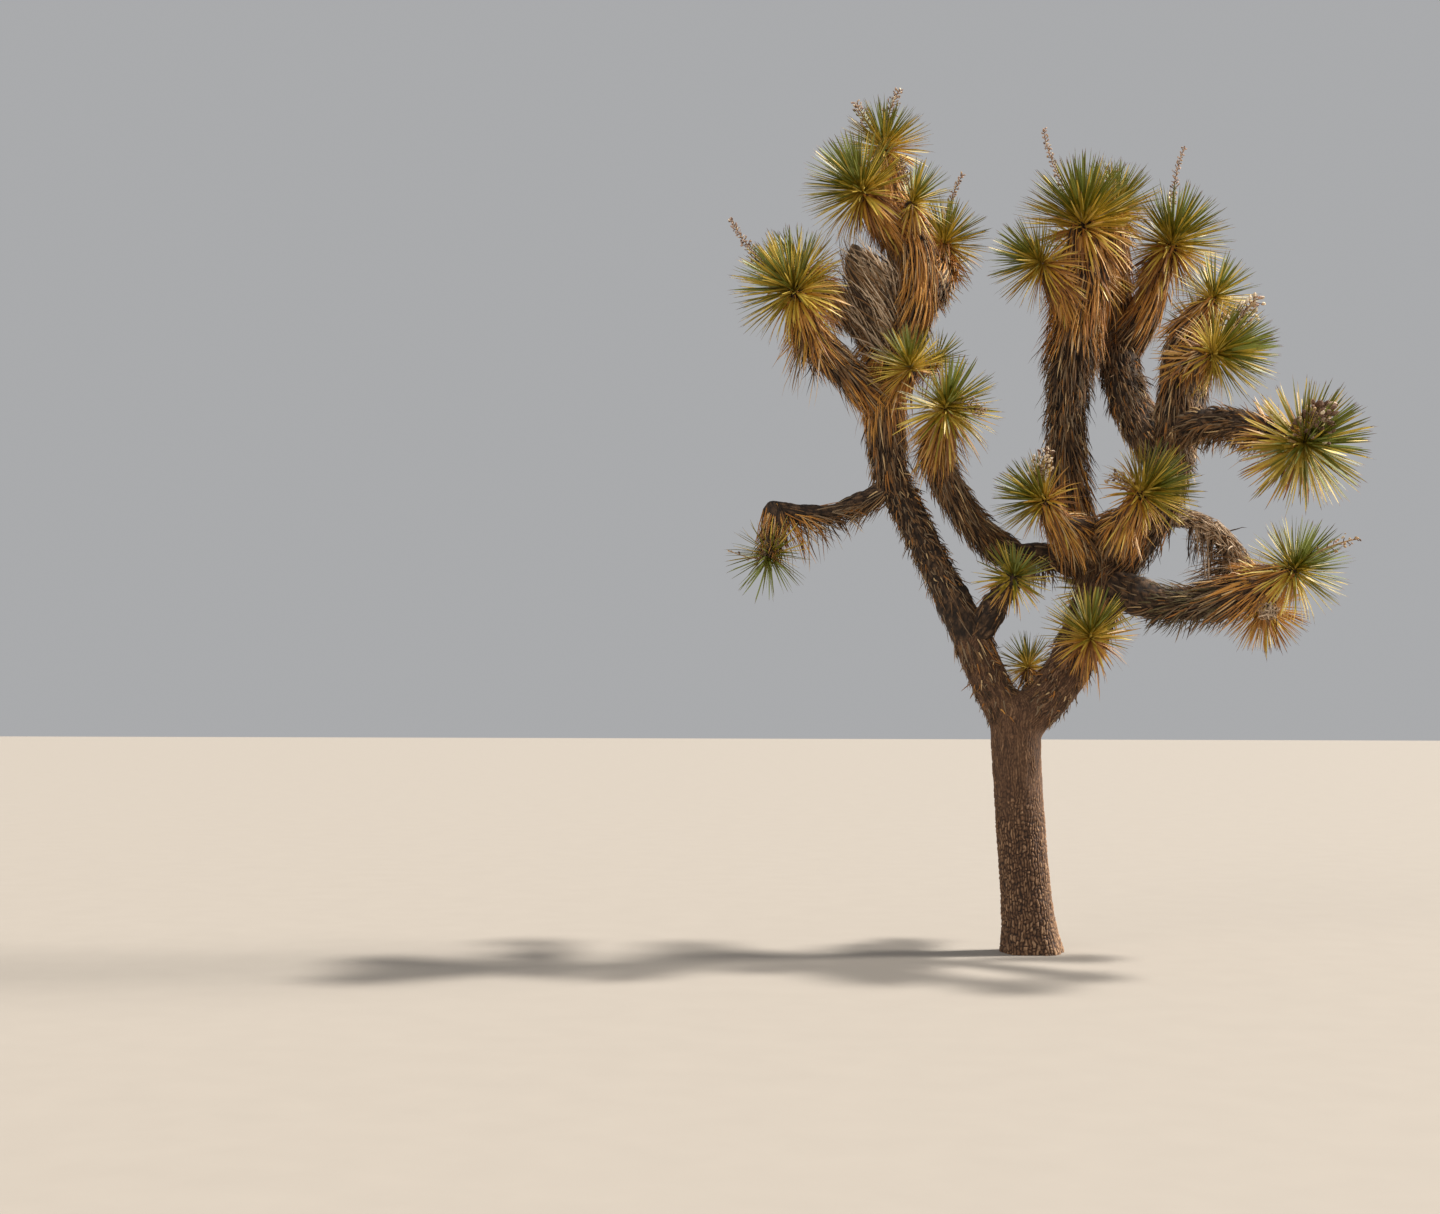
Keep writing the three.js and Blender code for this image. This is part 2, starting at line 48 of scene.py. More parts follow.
# Limbs in the order they grow: the limb that bears each, how far along that limb it starts (1 where it
# carries it on), its tip, across, back and up from the foot of the trunk, its bow, which is how far its
# middle stands off the straight line, and its radius at its start and its tip, with the thatch. The trunk's
# radius is given further down.
LIMBS = {
    "trunk": (None, 1, (-86, 0, 1320), (-13, 0, 0), (0, 0)),
    "left_bough": ("trunk", 0.93, (-325, -80, 1750), (-20, 0, 10), (116, 104)),
    "right_bough": ("trunk", 0.93, (400, 60, 2115), (78, -10, -62), (122, 130)),
    "left_stem": ("left_bough", 0.96, (-748, -300, 2617), (-5, 0, 5), (100, 108)),
    "left_column": ("left_stem", 1, (-758, -280, 3330), (-25, -30, 0), (108, 110)),
    "left_low_arm": ("left_stem", 0.95, (-1373, -540, 2426), (-20, 0, -95), (68, 46)),
    "left_low_tip": ("left_low_arm", 1, (-1352, -592, 2270), (16, 0, 0), (62, 80)),
    "left_mid_arm": ("left_column", 0.56, (-1155, -620, 3350), (0, 0, -35), (78, 92)),
    "left_high_arm": ("left_column", 0.93, (-1146, -40, 3700), (0, 20, 35), (92, 76)),
    "dead_stub": ("left_column", 0.88, (-842, -400, 3795), (-12, -20, 0), (100, 150)),
    "top_left_stem": ("left_column", 1, (-665, -210, 3960), (100, -20, 0), (120, 140)),
    "top_left_side": ("top_left_stem", 0.42, (-480, 230, 3880), (30, 20, -30), (90, 74)),
    "inner_stem": ("left_bough", 0.95, (-165, -190, 1945), (8, 0, 0), (84, 76)),
    "inner_arm": ("right_bough", 0.96, (-89, 100, 2189), (0, 0, 45), (88, 80)),
    "inner_riser": ("inner_arm", 1, (-491, -450, 2700), (-50, 0, -45), (90, 98)),
    "centre_stem": ("inner_arm", 0.22, (345, 105, 3800), (-108, 38, 0), (88, 156)),
    "right_stem": ("right_bough", 0.96, (791, 0, 2729), (80, 0, -40), (136, 106)),
    "right_riser": ("right_stem", 0.9, (510, 420, 3380), (-62, 0, 0), (124, 126)),
    "right_top_stem": ("right_riser", 1, (735, 390, 3825), (42, -10, -18), (115, 84)),
    "centre_back_stem": ("right_riser", 0.92, (500, 540, 4070), (-10, 60, 0), (112, 92)),
    "right_column": ("right_stem", 1, (858, -150, 3392), (-25, -20, 0), (106, 102)),
    "right_arm": ("right_column", 0.2, (1235, -610, 2760), (0, 20, 50), (90, 92)),
    "right_low_arm": ("right_bough", 0.93, (1195, -400, 2005), (10, 0, -125), (108, 96)),
    "dead_arch_rise": ("right_stem", 0.55, (992, 140, 2346), (0, 0, 20), (50, 46)),
    "dead_arch_fall": ("dead_arch_rise", 1, (1214, 200, 2036), (12, 0, 16), (48, 66)),
    "front_left_shoot": ("right_bough", 1, (175, -270, 2325), (53, 5, 45), (96, 84)),
    "front_right_shoot": ("right_bough", 1, (520, -330, 2345), (-55, 25, 45), (98, 86)),
    "back_left_stem": ("left_column", 0.72, (-609, 800, 3852), (0, 60, -90), (96, 84)),
    "back_centre_stem": ("centre_stem", 0.5, (336, 850, 3965), (0, 60, -90), (96, 84)),
    "back_right_stem": ("right_stem", 0.93, (968, 650, 3407), (20, 60, -80), (96, 84)),
    "back_low_arm": ("right_bough", 0.9, (405, 650, 1965), (0, 0, -60), (92, 82)),
}
BARE_LIMBS = ["trunk", "left_bough", "right_bough"]
DEAD_LIMBS = ["dead_stub", "dead_arch_rise", "dead_arch_fall"]

# Rosettes: the limb that bears each, how far along that limb its stem starts, its crown, which is the
# growing tip where the leaves meet, the way that tip faces, and the length of a leaf
ROSETTES = {
    "far_left": ("left_mid_arm", 1, (-1250, -740, 3588), (-5, -5, 6), 335),
    "far_left_back": ("left_high_arm", 1, (-1290, 30, 3843), (-6, 2, 7), 280),
    "low_left": ("left_low_tip", 1, (-1376, -650, 2134), (-2, -6, -8), 240),
    "inner_left": ("inner_riser", 1, (-425, -600, 2963), (2, -6, 8), 305),
    "column_front": ("left_column", 0.72, (-630, -530, 3190), (-2, -4, 8), 245),
    "column_side": ("left_column", 0.9, (-487, -230, 3261), (5, -3, 7), 190),
    "top_left": ("top_left_stem", 1, (-794, -20, 4540), (0, -2, 9), 275),
    "top_left_front": ("top_left_stem", 0.92, (-903, -480, 4180), (-4, -4, 7), 330),
    "top_left_inner": ("top_left_stem", 0.86, (-608, -370, 4128), (3, -4, 8), 240),
    "top_left_side": ("top_left_side", 1, (-469, 350, 4060), (2, 1, 9), 275),
    "inner": ("inner_stem", 1, (-80, -300, 2060), (2, -8, 5), 235),
    "centre": ("centre_stem", 1, (312, 20, 4088), (0, -2, 9), 388),
    "centre_left": ("centre_stem", 0.8, (45, -150, 3812), (-8, -3, 5), 292),
    "centre_back": ("centre_back_stem", 1, (505, 600, 4275), (1, 2, 9), 310),
    "right_top": ("right_top_stem", 1, (829, 360, 4027), (3, -2, 9), 345),
    "front_left": ("front_left_shoot", 1, (44, -360, 2473), (-8, -4, 4), 275),
    "front_right": ("front_right_shoot", 1, (628, -430, 2502), (8, -5, 5), 305),
    "right_upper": ("right_column", 1, (1010, -170, 3590), (4, -3, 8), 255),
    "right_side": ("right_column", 0.74, (1020, -480, 3215), (9, -3, 2), 320),
    "low_front": ("right_bough", 0.62, (318, -350, 1755), (0, -5, 8), 290),
    "far_right": ("right_arm", 1, (1400, -780, 2692), (4, -8, 2), 345),
    "low_right": ("right_low_arm", 1, (1381, -500, 2088), (5, -4, 7), 290),
    "drooping": ("dead_arch_fall", 1, (1292, 180, 1868), (1, -5, -6), 250),
    "fork": ("right_bough", 0.12, (-14, 480, 1600), (-1, 4, 8), 205),
    "back_left": ("back_left_stem", 1, (-608, 920, 4030), (0, 4, 8), 290),
    "back_centre": ("back_centre_stem", 1, (365, 980, 4175), (1, 4, 8), 295),
    "back_right": ("back_right_stem", 1, (1028, 800, 3550), (2, 6, 7), 295),
    "back_low": ("back_low_arm", 1, (413, 820, 2060), (0, 8, 5), 285),
}

# Dried flower stalks: the rosette that bears each, and where its tip stands from that crown
STALKS = [
    ("far_left", (-305, -20, 350)),
    ("low_left", (-215, -40, 50)),
    ("inner_left", (190, -60, -60)),
    ("top_left", (85, 20, 290)),
    ("top_left", (-150, -40, 210)),
    ("top_left_inner", (-60, -60, 200)),
    ("top_left_side", (100, 0, 365)),
    ("centre", (-214, 40, 495)),
    ("centre_back", (-20, 0, 200)),
    ("right_top", (60, 0, 500)),
    ("front_left", (60, -40, 250)),
    ("front_right", (-190, -50, 60)),
    ("right_side", (165, 30, 270)),
    ("far_right", (45, -170, 140)),
    ("low_right", (292, -40, 125)),
    ("back_left", (-40, 40, 330)),
]

# How some stalks differ: the palette slot of most pods, how wide the cluster is and how crowded
STALK_LOOK = dict(
    top_left_inner=(2, 0.55, 1.6), front_left=(3, 1.0, 1.3), right_side=(3, 1.3, 1.4),
    far_right=(2, 1.8, 1.6), low_right=(0, 0.8, 0.5), far_left=(1, 0.5, 1.6), low_left=(2, 0.5, 0.15),
    top_left=(1, 0.75, 1.3), centre=(1, 0.42, 1.5), right_top=(1, 0.42, 1.5),
    top_left_side=(1, 0.38, 1.4), back_left=(1, 0.7, 1.3), inner_left=(1, 0.9, 1.0),
)

# Trunk, as in the solid model
TRUNK_START = (6, 0, -80)
TRUNK_RADIUS = 0.137
ROOT_FLARE = 0.042
FLARE_HEIGHT = 0.15
FLARE_LOBES = 5
LOBE_DEPTH = 0.06
FORK_SWELL = 0.009
FORK_SWELL_HEIGHT = 0.2

# Rosette leaves, as in the solid model but far more of them, and slimmer. Tilts are from the way a crown
# faces, and widths and the crown's length are shares of a leaf's length.
LEAST_TILT = math.radians(7)
MOST_TILT = math.radians(124)
LEAF_ZONE = 0.28
TIP_STEM_SHARE = 0.92
SIDE_STEM_SHARE = 0.3
STEM_TIP_SHARE = 0.2
GOLDEN_TURN = math.pi * (3 - math.sqrt(5))
LEAVES_PER_ROSETTE = 205
LEAF_WIDTH = 0.044
LEAF_TAPER = np.array([1.0, 0.92, 0.6, 0.24])
LEAF_STATIONS = (0.0, 0.35, 0.72, 0.93, 1.0)
LEAF_THICKNESS = 0.3
LENGTH_SPREAD = 0.14
# A leaf that would run into something is tried at these shares of its length
SHORTER = (1.0, 0.85, 0.7)
# How far the oldest leaves bend back, and how much shorter they are
REFLEX = 0.9
OLD_SHRINK = 0.38
# The ages at which a leaf's colour changes, from the bud at 0 to the skirt at 1
AGES = [0.08, 0.34, 0.60, 0.76, 0.88, 0.98]
# Dead leaves under a rosette for each living one
DEAD_SHARE = 0.55

# How crowded a rosette is, and how many dead leaves hang under it, where that isn't 1
CROWD = dict(
    far_left=1.5, low_left=0.62, inner_left=1.35, top_left=1.6, top_left_front=1.7, top_left_inner=1.35,
    top_left_side=1.5, centre=1.6, centre_left=1.35, centre_back=1.4, right_top=1.5, right_side=1.25,
    front_left=1.25, front_right=1.35, right_upper=1.25, far_right=1.35, low_right=1.2, column_front=1.6,
    fork=1.5, drooping=1.7,
)
DEAD_LEAVES = dict(
    low_left=0.0, inner_left=1.5, low_front=0.3, right_side=0.5, centre=1.4, drooping=2.2, inner=0.0,
    fork=0.4, far_right=0.4, front_left=0.6, front_right=0.6, right_top=0.5, centre_back=0.6,
)
# How much older than its neighbours a rosette looks, or younger if below 0
OLDER = dict(
    far_left=-0.14, low_left=-0.3, low_right=-0.12, low_front=0.1, top_left=0.05, centre_left=0.05,
    right_side=-0.12, centre=0.06, column_front=0.1,
)
# The share of a rosette's leaves that catch the light in yellow
GLINTS = dict(far_left=0.36, inner_left=0.2, front_right=0.2, low_right=0.02, centre=0.06)
# How far a rosette's leaves stray from their row, in radians, and how much they sag, where not usual
MUSSED = dict(drooping=0.35, inner_left=0.2)
SAGGING = dict(low_front=0.1, inner_left=0.2, drooping=0.4)
# The widest tilt of living leaves, in degrees, on rosettes that look one way only
WIDEST = dict(front_left=86, front_right=88, right_side=88, inner=108, low_front=96, far_left=104)

# Thatch of dead leaves: how many to a metre of limb, their length and width, and the share that stick out
BLADES_PER_METRE = 1300
BLADE_LENGTH = 0.27
BLADE_WIDTH = 0.0086
BLADE_TAPER = np.array([1.0, 0.85, 0.5])
BLADE_STATIONS = np.array([0, 0.42, 0.78, 1.0])
BLADE_THICKNESS = 0.28
LOOSE_BLADES = 0.08
# The share of a limb's radius that its core takes up inside the thatch
CORE_SHARE = 0.76
# How far from a rosette the thatch of a limb is still golden, in metres, where that isn't 0.5
GOLDEN_REACH = dict(
    top_left_stem=0.85, centre_stem=0.75, right_top_stem=0.7, centre_back_stem=0.7, front_left_shoot=0.5,
    front_right_shoot=0.4, right_column=0.12, right_stem=0.3, inner_stem=0.05, right_arm=0.35,
    inner_riser=0.35,
)
# How much the ends of golden leaves stand off where they give way to old thatch
FLARE = dict(top_left_stem=0.55, centre_stem=0.5, left_mid_arm=0.3, centre_back_stem=0.2)
# How long the dead leaves of a limb are against the usual
BLADE_SHARE = dict(
    right_low_arm=1.25, left_stem=0.42, left_low_arm=1.45, inner_stem=0.5, centre_stem=0.9,
    right_riser=0.85, right_stem=0.85, front_left_shoot=0.75, front_right_shoot=0.75,
)
# Skirts on rosette stems that aren't golden: how golden, and how long
DULL_SKIRT = dict(
    drooping=(0.55, 0.85), low_left=(0.4, 0.5), inner=(0.1, 0.4), fork=(0.5, 0.5), right_side=(0.5, 0.6),
    front_left=(1.3, 0.8), front_right=(1.3, 0.8),
)

# Limbs whose top is worn bare, how far up from its start a limb shows bark, and how strongly the leaves
# under a limb hang where that isn't 1
BALD = dict(left_low_arm=0.97, inner_arm=0.9, right_low_arm=0.25, right_arm=0.3, back_low_arm=0.5)
BARK_REACH = dict(
    right_low_arm=0.36, inner_stem=0.9, left_stem=0.3, inner_arm=0.5, inner_riser=0.2, left_mid_arm=0.2,
    left_low_arm=0.1, back_low_arm=0.3,
)
HUNG = dict(left_low_arm=0.85, right_low_arm=0.6, right_arm=0.8, inner_arm=1.3)

# Bark: voxels of the first mesh, how much of a limb it fills and how often it is smoothed. Then the depth of
# a crack, the columns and the height of plates low down and above, and the share of them that join up.
BARK_VOXEL = 0.0058
BARK_FILL = 0.985
BARK_SMOOTHING = 18
BARK_DEPTH = 0.009
LOW_PLATES = (52, 0.028)
HIGH_PLATES = (58, 0.075)
JOINED_PLATES = 0.15
RIPPLE = 0.003
FORK_STEPS = 90

# Dead wood: fibres and strands, and where leaves under the low right arm curl up into a ball
FIBRE_STATIONS = np.array([0, 0.28, 0.55, 0.8, 1.0])
FIBRE_TAPER = np.array([1.0, 1.0, 0.8, 0.5])
FIBRE_THICKNESS = 0.4
STRAND_WIDTH = 0.0075
CURLED_BALL = (1222, -560, 1838)
CURLS = 150

# The dead stub is snapped off square to this direction, through its tip
SNAPPED = (13, 0, 17)

# Steps along a curve, and how far the rounded end of a limb stands out, against its radius
CURVE_STEPS = 100
DOME = 0.85

# Seeds of the random draws, each the first of a run of numbers. The thatch of the limbs starts from 0.
BOUGH_DRAWS = 80
SKIRT_DRAWS = 100
LEAF_DRAWS = 200
STALK_DRAWS = 300
DEAD_DRAWS = 400
CURL_DRAWS = 450
STRAND_DRAWS = 460

# Suns: direction towards each, strength, how wide it is in degrees, and its colour
SUNS = {
    "key": ((1.0, 0.42, 1.8), 5.2, 5, (1.0, 0.95, 0.87)),
    "edge": ((1.0, 0.26, 0.42), 4.6, 14, (1.0, 0.94, 0.85)),
    "fill": ((-0.6, -1.0, 0.7), 0.8, 40, (1.0, 0.93, 0.82)),
}
SKY = (0.80, 0.81, 0.83, 1)
SKY_STRENGTH = 0.5
FLOOR_COLOUR = (146, 139, 131)
# The camera's place, and how far it looks up and to the left, in degrees
CAMERA_PLACE = (0, -11.2, 1.3835)
CAMERA_UP = 2.6623
CAMERA_TURN = 8.8066


def unit(vectors):
    """The same directions, one long."""
    return vectors / np.maximum(np.linalg.norm(vectors, axis=-1, keepdims=True), 1e-9)


def dot(a, b):
    """Dot products, row by row."""
    return np.sum(a * b, axis=-1, keepdims=True)


def ease(low, high, value):
    """0 below low, 1 above high, smooth between."""
    t = np.clip((value - low) / (high - low), 0, 1)
    return t * t * (3 - 2 * t)


def spoke(turn, side, other):
    """Directions turned this far from side towards other."""
    return np.cos(turn)[..., None] * side + np.sin(turn)[..., None] * other


def bent(start, control, tip, t):
    """Points along a quadratic curve."""
    return (1 - t) ** 2 * start + 2 * t * (1 - t) * control + t**2 * tip


class Curve:
    """A quadratic curve measured along its own length, with a frame that doesn't twist."""

    def __init__(self, start, control, tip):
        t = np.linspace(0, 1, CURVE_STEPS + 1)[:, None]
        self.points = bent(start, control, tip, t)
        reach = np.cumsum(np.linalg.norm(np.diff(self.points, axis=0), axis=1))
        self.length = reach[-1]
        self.shares = np.concatenate([[0], reach]) / self.length
        self.tangents = unit(2 * (1 - t) * (control - start) + 2 * t * (tip - control))
        side = np.cross(self.tangents[0], (0.2, 1, 0.1))
        sides = []
        for tangent in self.tangents:
            side = unit(side - np.dot(side, tangent) * tangent)
            sides.append(side)
        self.sides = np.array(sides)

    def along(self, rows, share):
        return np.stack([np.interp(share, self.shares, rows[:, k]) for k in range(3)], axis=-1)

    def at(self, share):
        """Points at these shares of the length, straight on past either end."""
        share = np.asarray(share, float)
        past = (share - np.clip(share, 0, 1))[..., None] * self.length
        return self.along(self.points, share) + past * self.along(self.tangents, share)

    def frame(self, share):
        """Points, tangents and two sides square to them."""
        tangent = unit(self.along(self.tangents, share))
        side = self.along(self.sides, share)
        side = unit(side - dot(side, tangent) * tangent)
        return self.at(share), tangent, side, np.cross(tangent, side)


class Limb:
    """A limb or a rosette's stem."""

    def __init__(self, name, curve, ends, follows):
        self.name = name
        self.curve = curve
        self.ends = ends
        self.follows = follows

    def radius(self, share, turn=0.0):
        share = np.clip(share, 0, 1)
        if self.name != "trunk":
            return self.ends[0] + (self.ends[1] - self.ends[0]) * share
        height = np.maximum(0, share * self.curve.length + TRUNK_START[2] * MM)
        flare = np.exp(-height / FLARE_HEIGHT)
        lobes = 1 + LOBE_DEPTH * flare * np.cos(FLARE_LOBES * turn)
        swell = FORK_SWELL * np.exp((share - 1) * self.curve.length / FORK_SWELL_HEIGHT)
        return (TRUNK_RADIUS + ROOT_FLARE * flare + swell) * lobes


def draws(number):
    """A source of random numbers that is the same on every run."""
    return np.random.default_rng([SEED, number])


def place(values):
    """A place in metres from one in millimetres."""
    return np.array(values, float) * MM


limbs = {}
for name, (bearer, at, tip, bow, ends) in LIMBS.items():
    start = limbs[bearer].curve.at(at) if bearer else place(TRUNK_START)
    tip = place(tip)
    curve = Curve(start, (start + tip) / 2 + 2 * place(bow), tip)
    limbs[name] = Limb(name, curve, place(ends), at == 1)

rosettes = {}
for key, (bearer, at, crown, facing, leaf) in ROSETTES.items():
    start = limbs[bearer].curve.at(at)
    crown = place(crown)
    axis = unit(np.array(facing, float))
    leaf = leaf * MM
    control = crown - 0.45 * np.linalg.norm(crown - start) * axis
    base = TIP_STEM_SHARE * limbs[bearer].ends[1] if at == 1 else SIDE_STEM_SHARE * leaf
    stem = Limb("stem_" + key, Curve(start, control, crown), (base, STEM_TIP_SHARE * leaf), at == 1)
    heart = crown - 0.5 * LEAF_ZONE * leaf * axis
    rosettes[key] = dict(crown=crown, axis=axis, leaf=leaf, stem=stem, heart=heart)

# The smallest heads have no golden thatch under them
crowns = np.array([one["crown"] for one in rosettes.values() if one["leaf"] > 0.2])


def rosette_nodes(keys):
    """The names that these rosettes have as solids."""
    return ["rosette_" + key for key in keys]


def youth(points, reach):
    """1 in the thatch just under a rosette, and 0 on the old wood further than reach from any."""
    far = np.linalg.norm(points[:, None, :] - crowns[None], axis=-1).min(axis=1)
    return 1 - ease(0.4 * reach, reach, far)


# Meshes


def set_relief(mesh, values):
    """Keeps the relief of each vertex for the bark's colours, which paint shade into the cracks."""
    layer = mesh.attributes.new("relief", "FLOAT", "POINT")
    layer.data.foreach_set("value", values.astype(np.float32))


def set_points(mesh, points):
    """Puts a mesh's vertices in these places."""
    mesh.vertices.foreach_set("co", points.astype(np.float32).ravel())


def read_vectors(mesh, what):
    """The places or the normals of a mesh's vertices."""
    values = np.empty(len(mesh.vertices) * 3, np.float32)
    mesh.vertices.foreach_get(what, values)
    return values.reshape(-1, 3).astype(float)


class Heap:
    """Many small closed shapes, kept as arrays until they are made into one object."""

    def __init__(self):
        self.vertices = []
        self.faces = []
        self.slots = []
        self.relief = []
        self.count = 0

    def add(self, vertices, faces, slots, relief=None):
        self.vertices.append(vertices)
        self.faces.append(faces + self.count)
        self.slots.append(slots)
        self.relief.append(np.zeros(len(vertices)) if relief is None else relief)
        self.count += len(vertices)

    def make(self, name, materials, smooth=False):
        """One object from all the shapes, where the slots give each face its material."""
        parts = (self.vertices, self.faces, self.slots, self.relief)
        vertices, faces, slots, relief = (np.concatenate(rows) for rows in parts)
        mesh = bpy.data.meshes.new(name)
        mesh.vertices.add(len(vertices))
        set_points(mesh, vertices)
        mesh.loops.add(faces.size)
        mesh.loops.foreach_set("vertex_index", faces.astype(np.int32).ravel())
        mesh.polygons.add(len(faces))
        mesh.polygons.foreach_set("loop_start", np.arange(0, faces.size, 3, dtype=np.int32))
        mesh.polygons.foreach_set("material_index", slots.astype(np.int32))
        mesh.polygons.foreach_set("use_smooth", np.full(len(faces), smooth))
        for material in materials:
            mesh.materials.append(material)
        mesh.update(calc_edges=True)
        mesh.validate()
        made = bpy.data.objects.new(name, mesh)
        bpy.context.scene.collection.objects.link(made)
        if relief.any():
            set_relief(mesh, relief)
        return made

    def settle(self, name, materials, nodes, slot, smooth=False):
        """Makes the object and settles it on the tree."""
        settle(self.make(name, materials, smooth), nodes)


def settle(made, nodes):
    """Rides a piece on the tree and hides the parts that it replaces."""
    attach(made, "root")
    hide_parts(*nodes)


def band_faces(levels, sides):
    """Faces that join rings of points one to the next."""
    faces = []
    for low in range(0, (levels - 1) * sides, sides):
        for k in range(sides):
            a, b = low + k, low + (k + 1) % sides
            faces += [(a, b, b + sides), (a, b + sides, a + sides)]
    return faces


def closed_faces(levels, sides):
    """Faces that join rings of points, and close the ends to the two points that come after them."""
    faces = band_faces(levels, sides)
    foot, last = levels * sides, (levels - 1) * sides
    for k in range(sides):
        faces += [(foot, (k + 1) % sides, k), (foot + 1, last + k, last + (k + 1) % sides)]
    return np.array(faces)


def blade_pattern(rings):
    """Faces of a closed three-sided blade: rings of three points, then the tip. Also each face's ring."""
    last = 3 * (rings - 1)
    tip = [(last + k, last + (k + 1) % 3, last + 3) for k in range(3)]
    ring_of = [0] + [ring for ring in range(rings - 1) for _ in range(6)] + [rings - 1] * 3
    return np.array([(0, 2, 1)] + band_faces(rings, 3) + tip), np.array(ring_of)


def add_blades(heap, centre, across, up, width, thick, slots):
    """Blades from their middle lines. centre is blades by rings + 1 by 3, and slots is blades by rings."""
    blades, stations, _ = centre.shape
    rings = stations - 1
    faces, ring_of = blade_pattern(rings)
    points = np.empty((blades, 3 * rings + 1, 3))
    for ring in range(rings):
        w = width[:, ring, None] / 2
        h = thick[:, ring, None]
        points[:, 3 * ring] = centre[:, ring] - across * w
        points[:, 3 * ring + 1] = centre[:, ring] + across * w
        points[:, 3 * ring + 2] = centre[:, ring] + up * h
    points[:, -1] = centre[:, -1]
    offset = np.arange(blades)[:, None, None] * (3 * rings + 1)
    heap.add(
        points.reshape(-1, 3),
        (faces[None] + offset).reshape(-1, 3),
        slots[:, ring_of].reshape(-1),
    )


def tube(limb, rows, sides, fill, high=1.0):
    """A closed tube round a limb from its start to share high, with a rounded end. fill gives the part of
    the limb's radius that it takes up at each share."""
    shares = np.concatenate([np.linspace(0.0, high, rows), [high, high]])
    push = np.concatenate([np.zeros(rows), [DOME * 0.6, DOME * 0.9]])
    shrink = np.concatenate([np.ones(rows), [0.78, 0.4]])
    point, tangent, side, other = limb.curve.frame(shares)
    turn = np.arange(sides) * 2 * math.pi / sides
    size = limb.radius(shares[:, None], turn[None]) * fill(shares)[:, None]
    middle = point + tangent * (push * size[:, 0])[:, None]
    out = spoke(turn[None], side[:, None], other[:, None])
    ring = middle[:, None] + out * (size * shrink[:, None])[..., None]
    vertices = np.concatenate([ring.reshape(-1, 3), point[:1], (middle + tangent * 0.002)[-1:]])
    return vertices, closed_faces(len(shares), sides)


# Materials


def colour(red, green, blue):
    """A plain colour from display values of 0 to 255."""
    linear = (((v / 255 + 0.055) / 1.055) ** 2.4 if v > 10 else v / 3295 for v in (red, green, blue))
    return tuple(linear) + (1,)


class Shading:
    """A material that is being put together from nodes."""

    def __init__(self, name, rough):
        self.material = bpy.data.materials.new(name)
        self.material.use_nodes = True
        self.shader = self.material.node_tree.nodes["Principled BSDF"]
        self.shader.inputs["Roughness"].default_value = rough
        self.where = self.add("TexCoord").outputs["Object"]

    def join(self, value, socket):
        """Links a node's output to a socket, or sets the socket to a plain value."""
        if isinstance(value, bpy.types.NodeSocket):
            self.material.node_tree.links.new(value, socket)
        else:
            socket.default_value = value

    def add(self, kind, **inputs):
        """A new node with these inputs."""
        node = self.material.node_tree.nodes.new("ShaderNode" + kind)
        for name, value in inputs.items():
            self.join(value, node.inputs[name.replace("_", " ")])
        return node

    def grain(self, scale, detail, stretch=None):
        """Noise in the object's own space."""
        place = self.where
        if stretch:
            place = self.add("Mapping", Vector=place, Scale=stretch).outputs["Vector"]
        return self.add("TexNoise", Vector=place, Scale=scale, Detail=detail).outputs["Fac"]

    def ramp(self, share, first, last, *between):
        """A colour picked by share from stops, each a position and a colour."""
        node = self.add("ValToRGB", Fac=share)
        stops = node.color_ramp.elements
        stops[0].position, stops[0].color = first
        stops[1].position, stops[1].color = last
        for position, shade in between:
            stops.new(position).color = shade
        return node.outputs["Color"]

    def mix(self, blend, amount, first, second):
        """Two colours mixed."""
        node = self.add("Mix")
        node.data_type = "RGBA"
        node.blend_type = blend
        node.inputs["Factor"].default_value = amount
        pair = [socket for socket in node.inputs if socket.type == "RGBA"]
        self.join(first, pair[0])
        self.join(second, pair[1])
        return [socket for socket in node.outputs if socket.type == "RGBA"][0]

    def finish(self, shade, height, strength, distance):
        """Gives the surface its colour and its relief."""
        relief = self.add("Bump", Height=height, Strength=strength, Distance=distance)
        self.join(shade, self.shader.inputs["Base Color"])
        self.join(relief.outputs["Normal"], self.shader.inputs["Normal"])
        return self.material


def plain_material(name, shade, rough, streak=0.16, scale=(40, 40, 12), bump=0.25):
    """One base colour with fine fibrous streaks and a little relief."""
    made = Shading(name, rough)
    grain = made.grain(4, 3, scale)
    dark, light = (tuple(min(1, c * k) for c in shade[:3]) + (1,) for k in (1 - streak, 1 + streak))
    return made.finish(made.ramp(grain, (0.25, dark), (0.75, light)), grain, bump, 0.002)


def palette(kind, **shades):
    """Plain materials of one kind, each from its colour and its roughness."""
    return [plain_material(f"{kind}_{name}", colour(*row[:3]), row[3]) for name, row in shades.items()]


leaf_materials = palette(
    "leaf",
    grey_green=(128, 136, 66, 0.5),
    green=(98, 100, 22, 0.5),
    olive=(142, 124, 28, 0.5),
    yellow=(202, 174, 70, 0.5),
    mustard=(184, 138, 50, 0.5),
    tan=(192, 144, 76, 0.6),
    russet=(134, 90, 46, 0.7),
    tip=(112, 76, 42, 0.6),
)
OLIVE, YELLOW, MUSTARD, TAN, RUSSET, TIP = range(2, 8)

thatch_materials = palette(
    "thatch",
    gold=(206, 148, 68, 0.7),
    orange=(164, 108, 46, 0.75),
    brown=(121, 89, 56, 0.8),
    grey=(128, 108, 84, 0.85),
    dark=(64, 46, 29, 0.85),
    pale=(208, 176, 128, 0.75),
    olive=(98, 88, 58, 0.8),
)
GOLD, ORANGE, BROWN, GREY, DARK, PALE, DRAB = range(7)

stalk_materials = palette(
    "stalk",
    tan=(176, 146, 108, 0.8),
    pink=(182, 154, 136, 0.8),
    dark=(108, 80, 62, 0.8),
    pale=(216, 198, 172, 0.8),
)

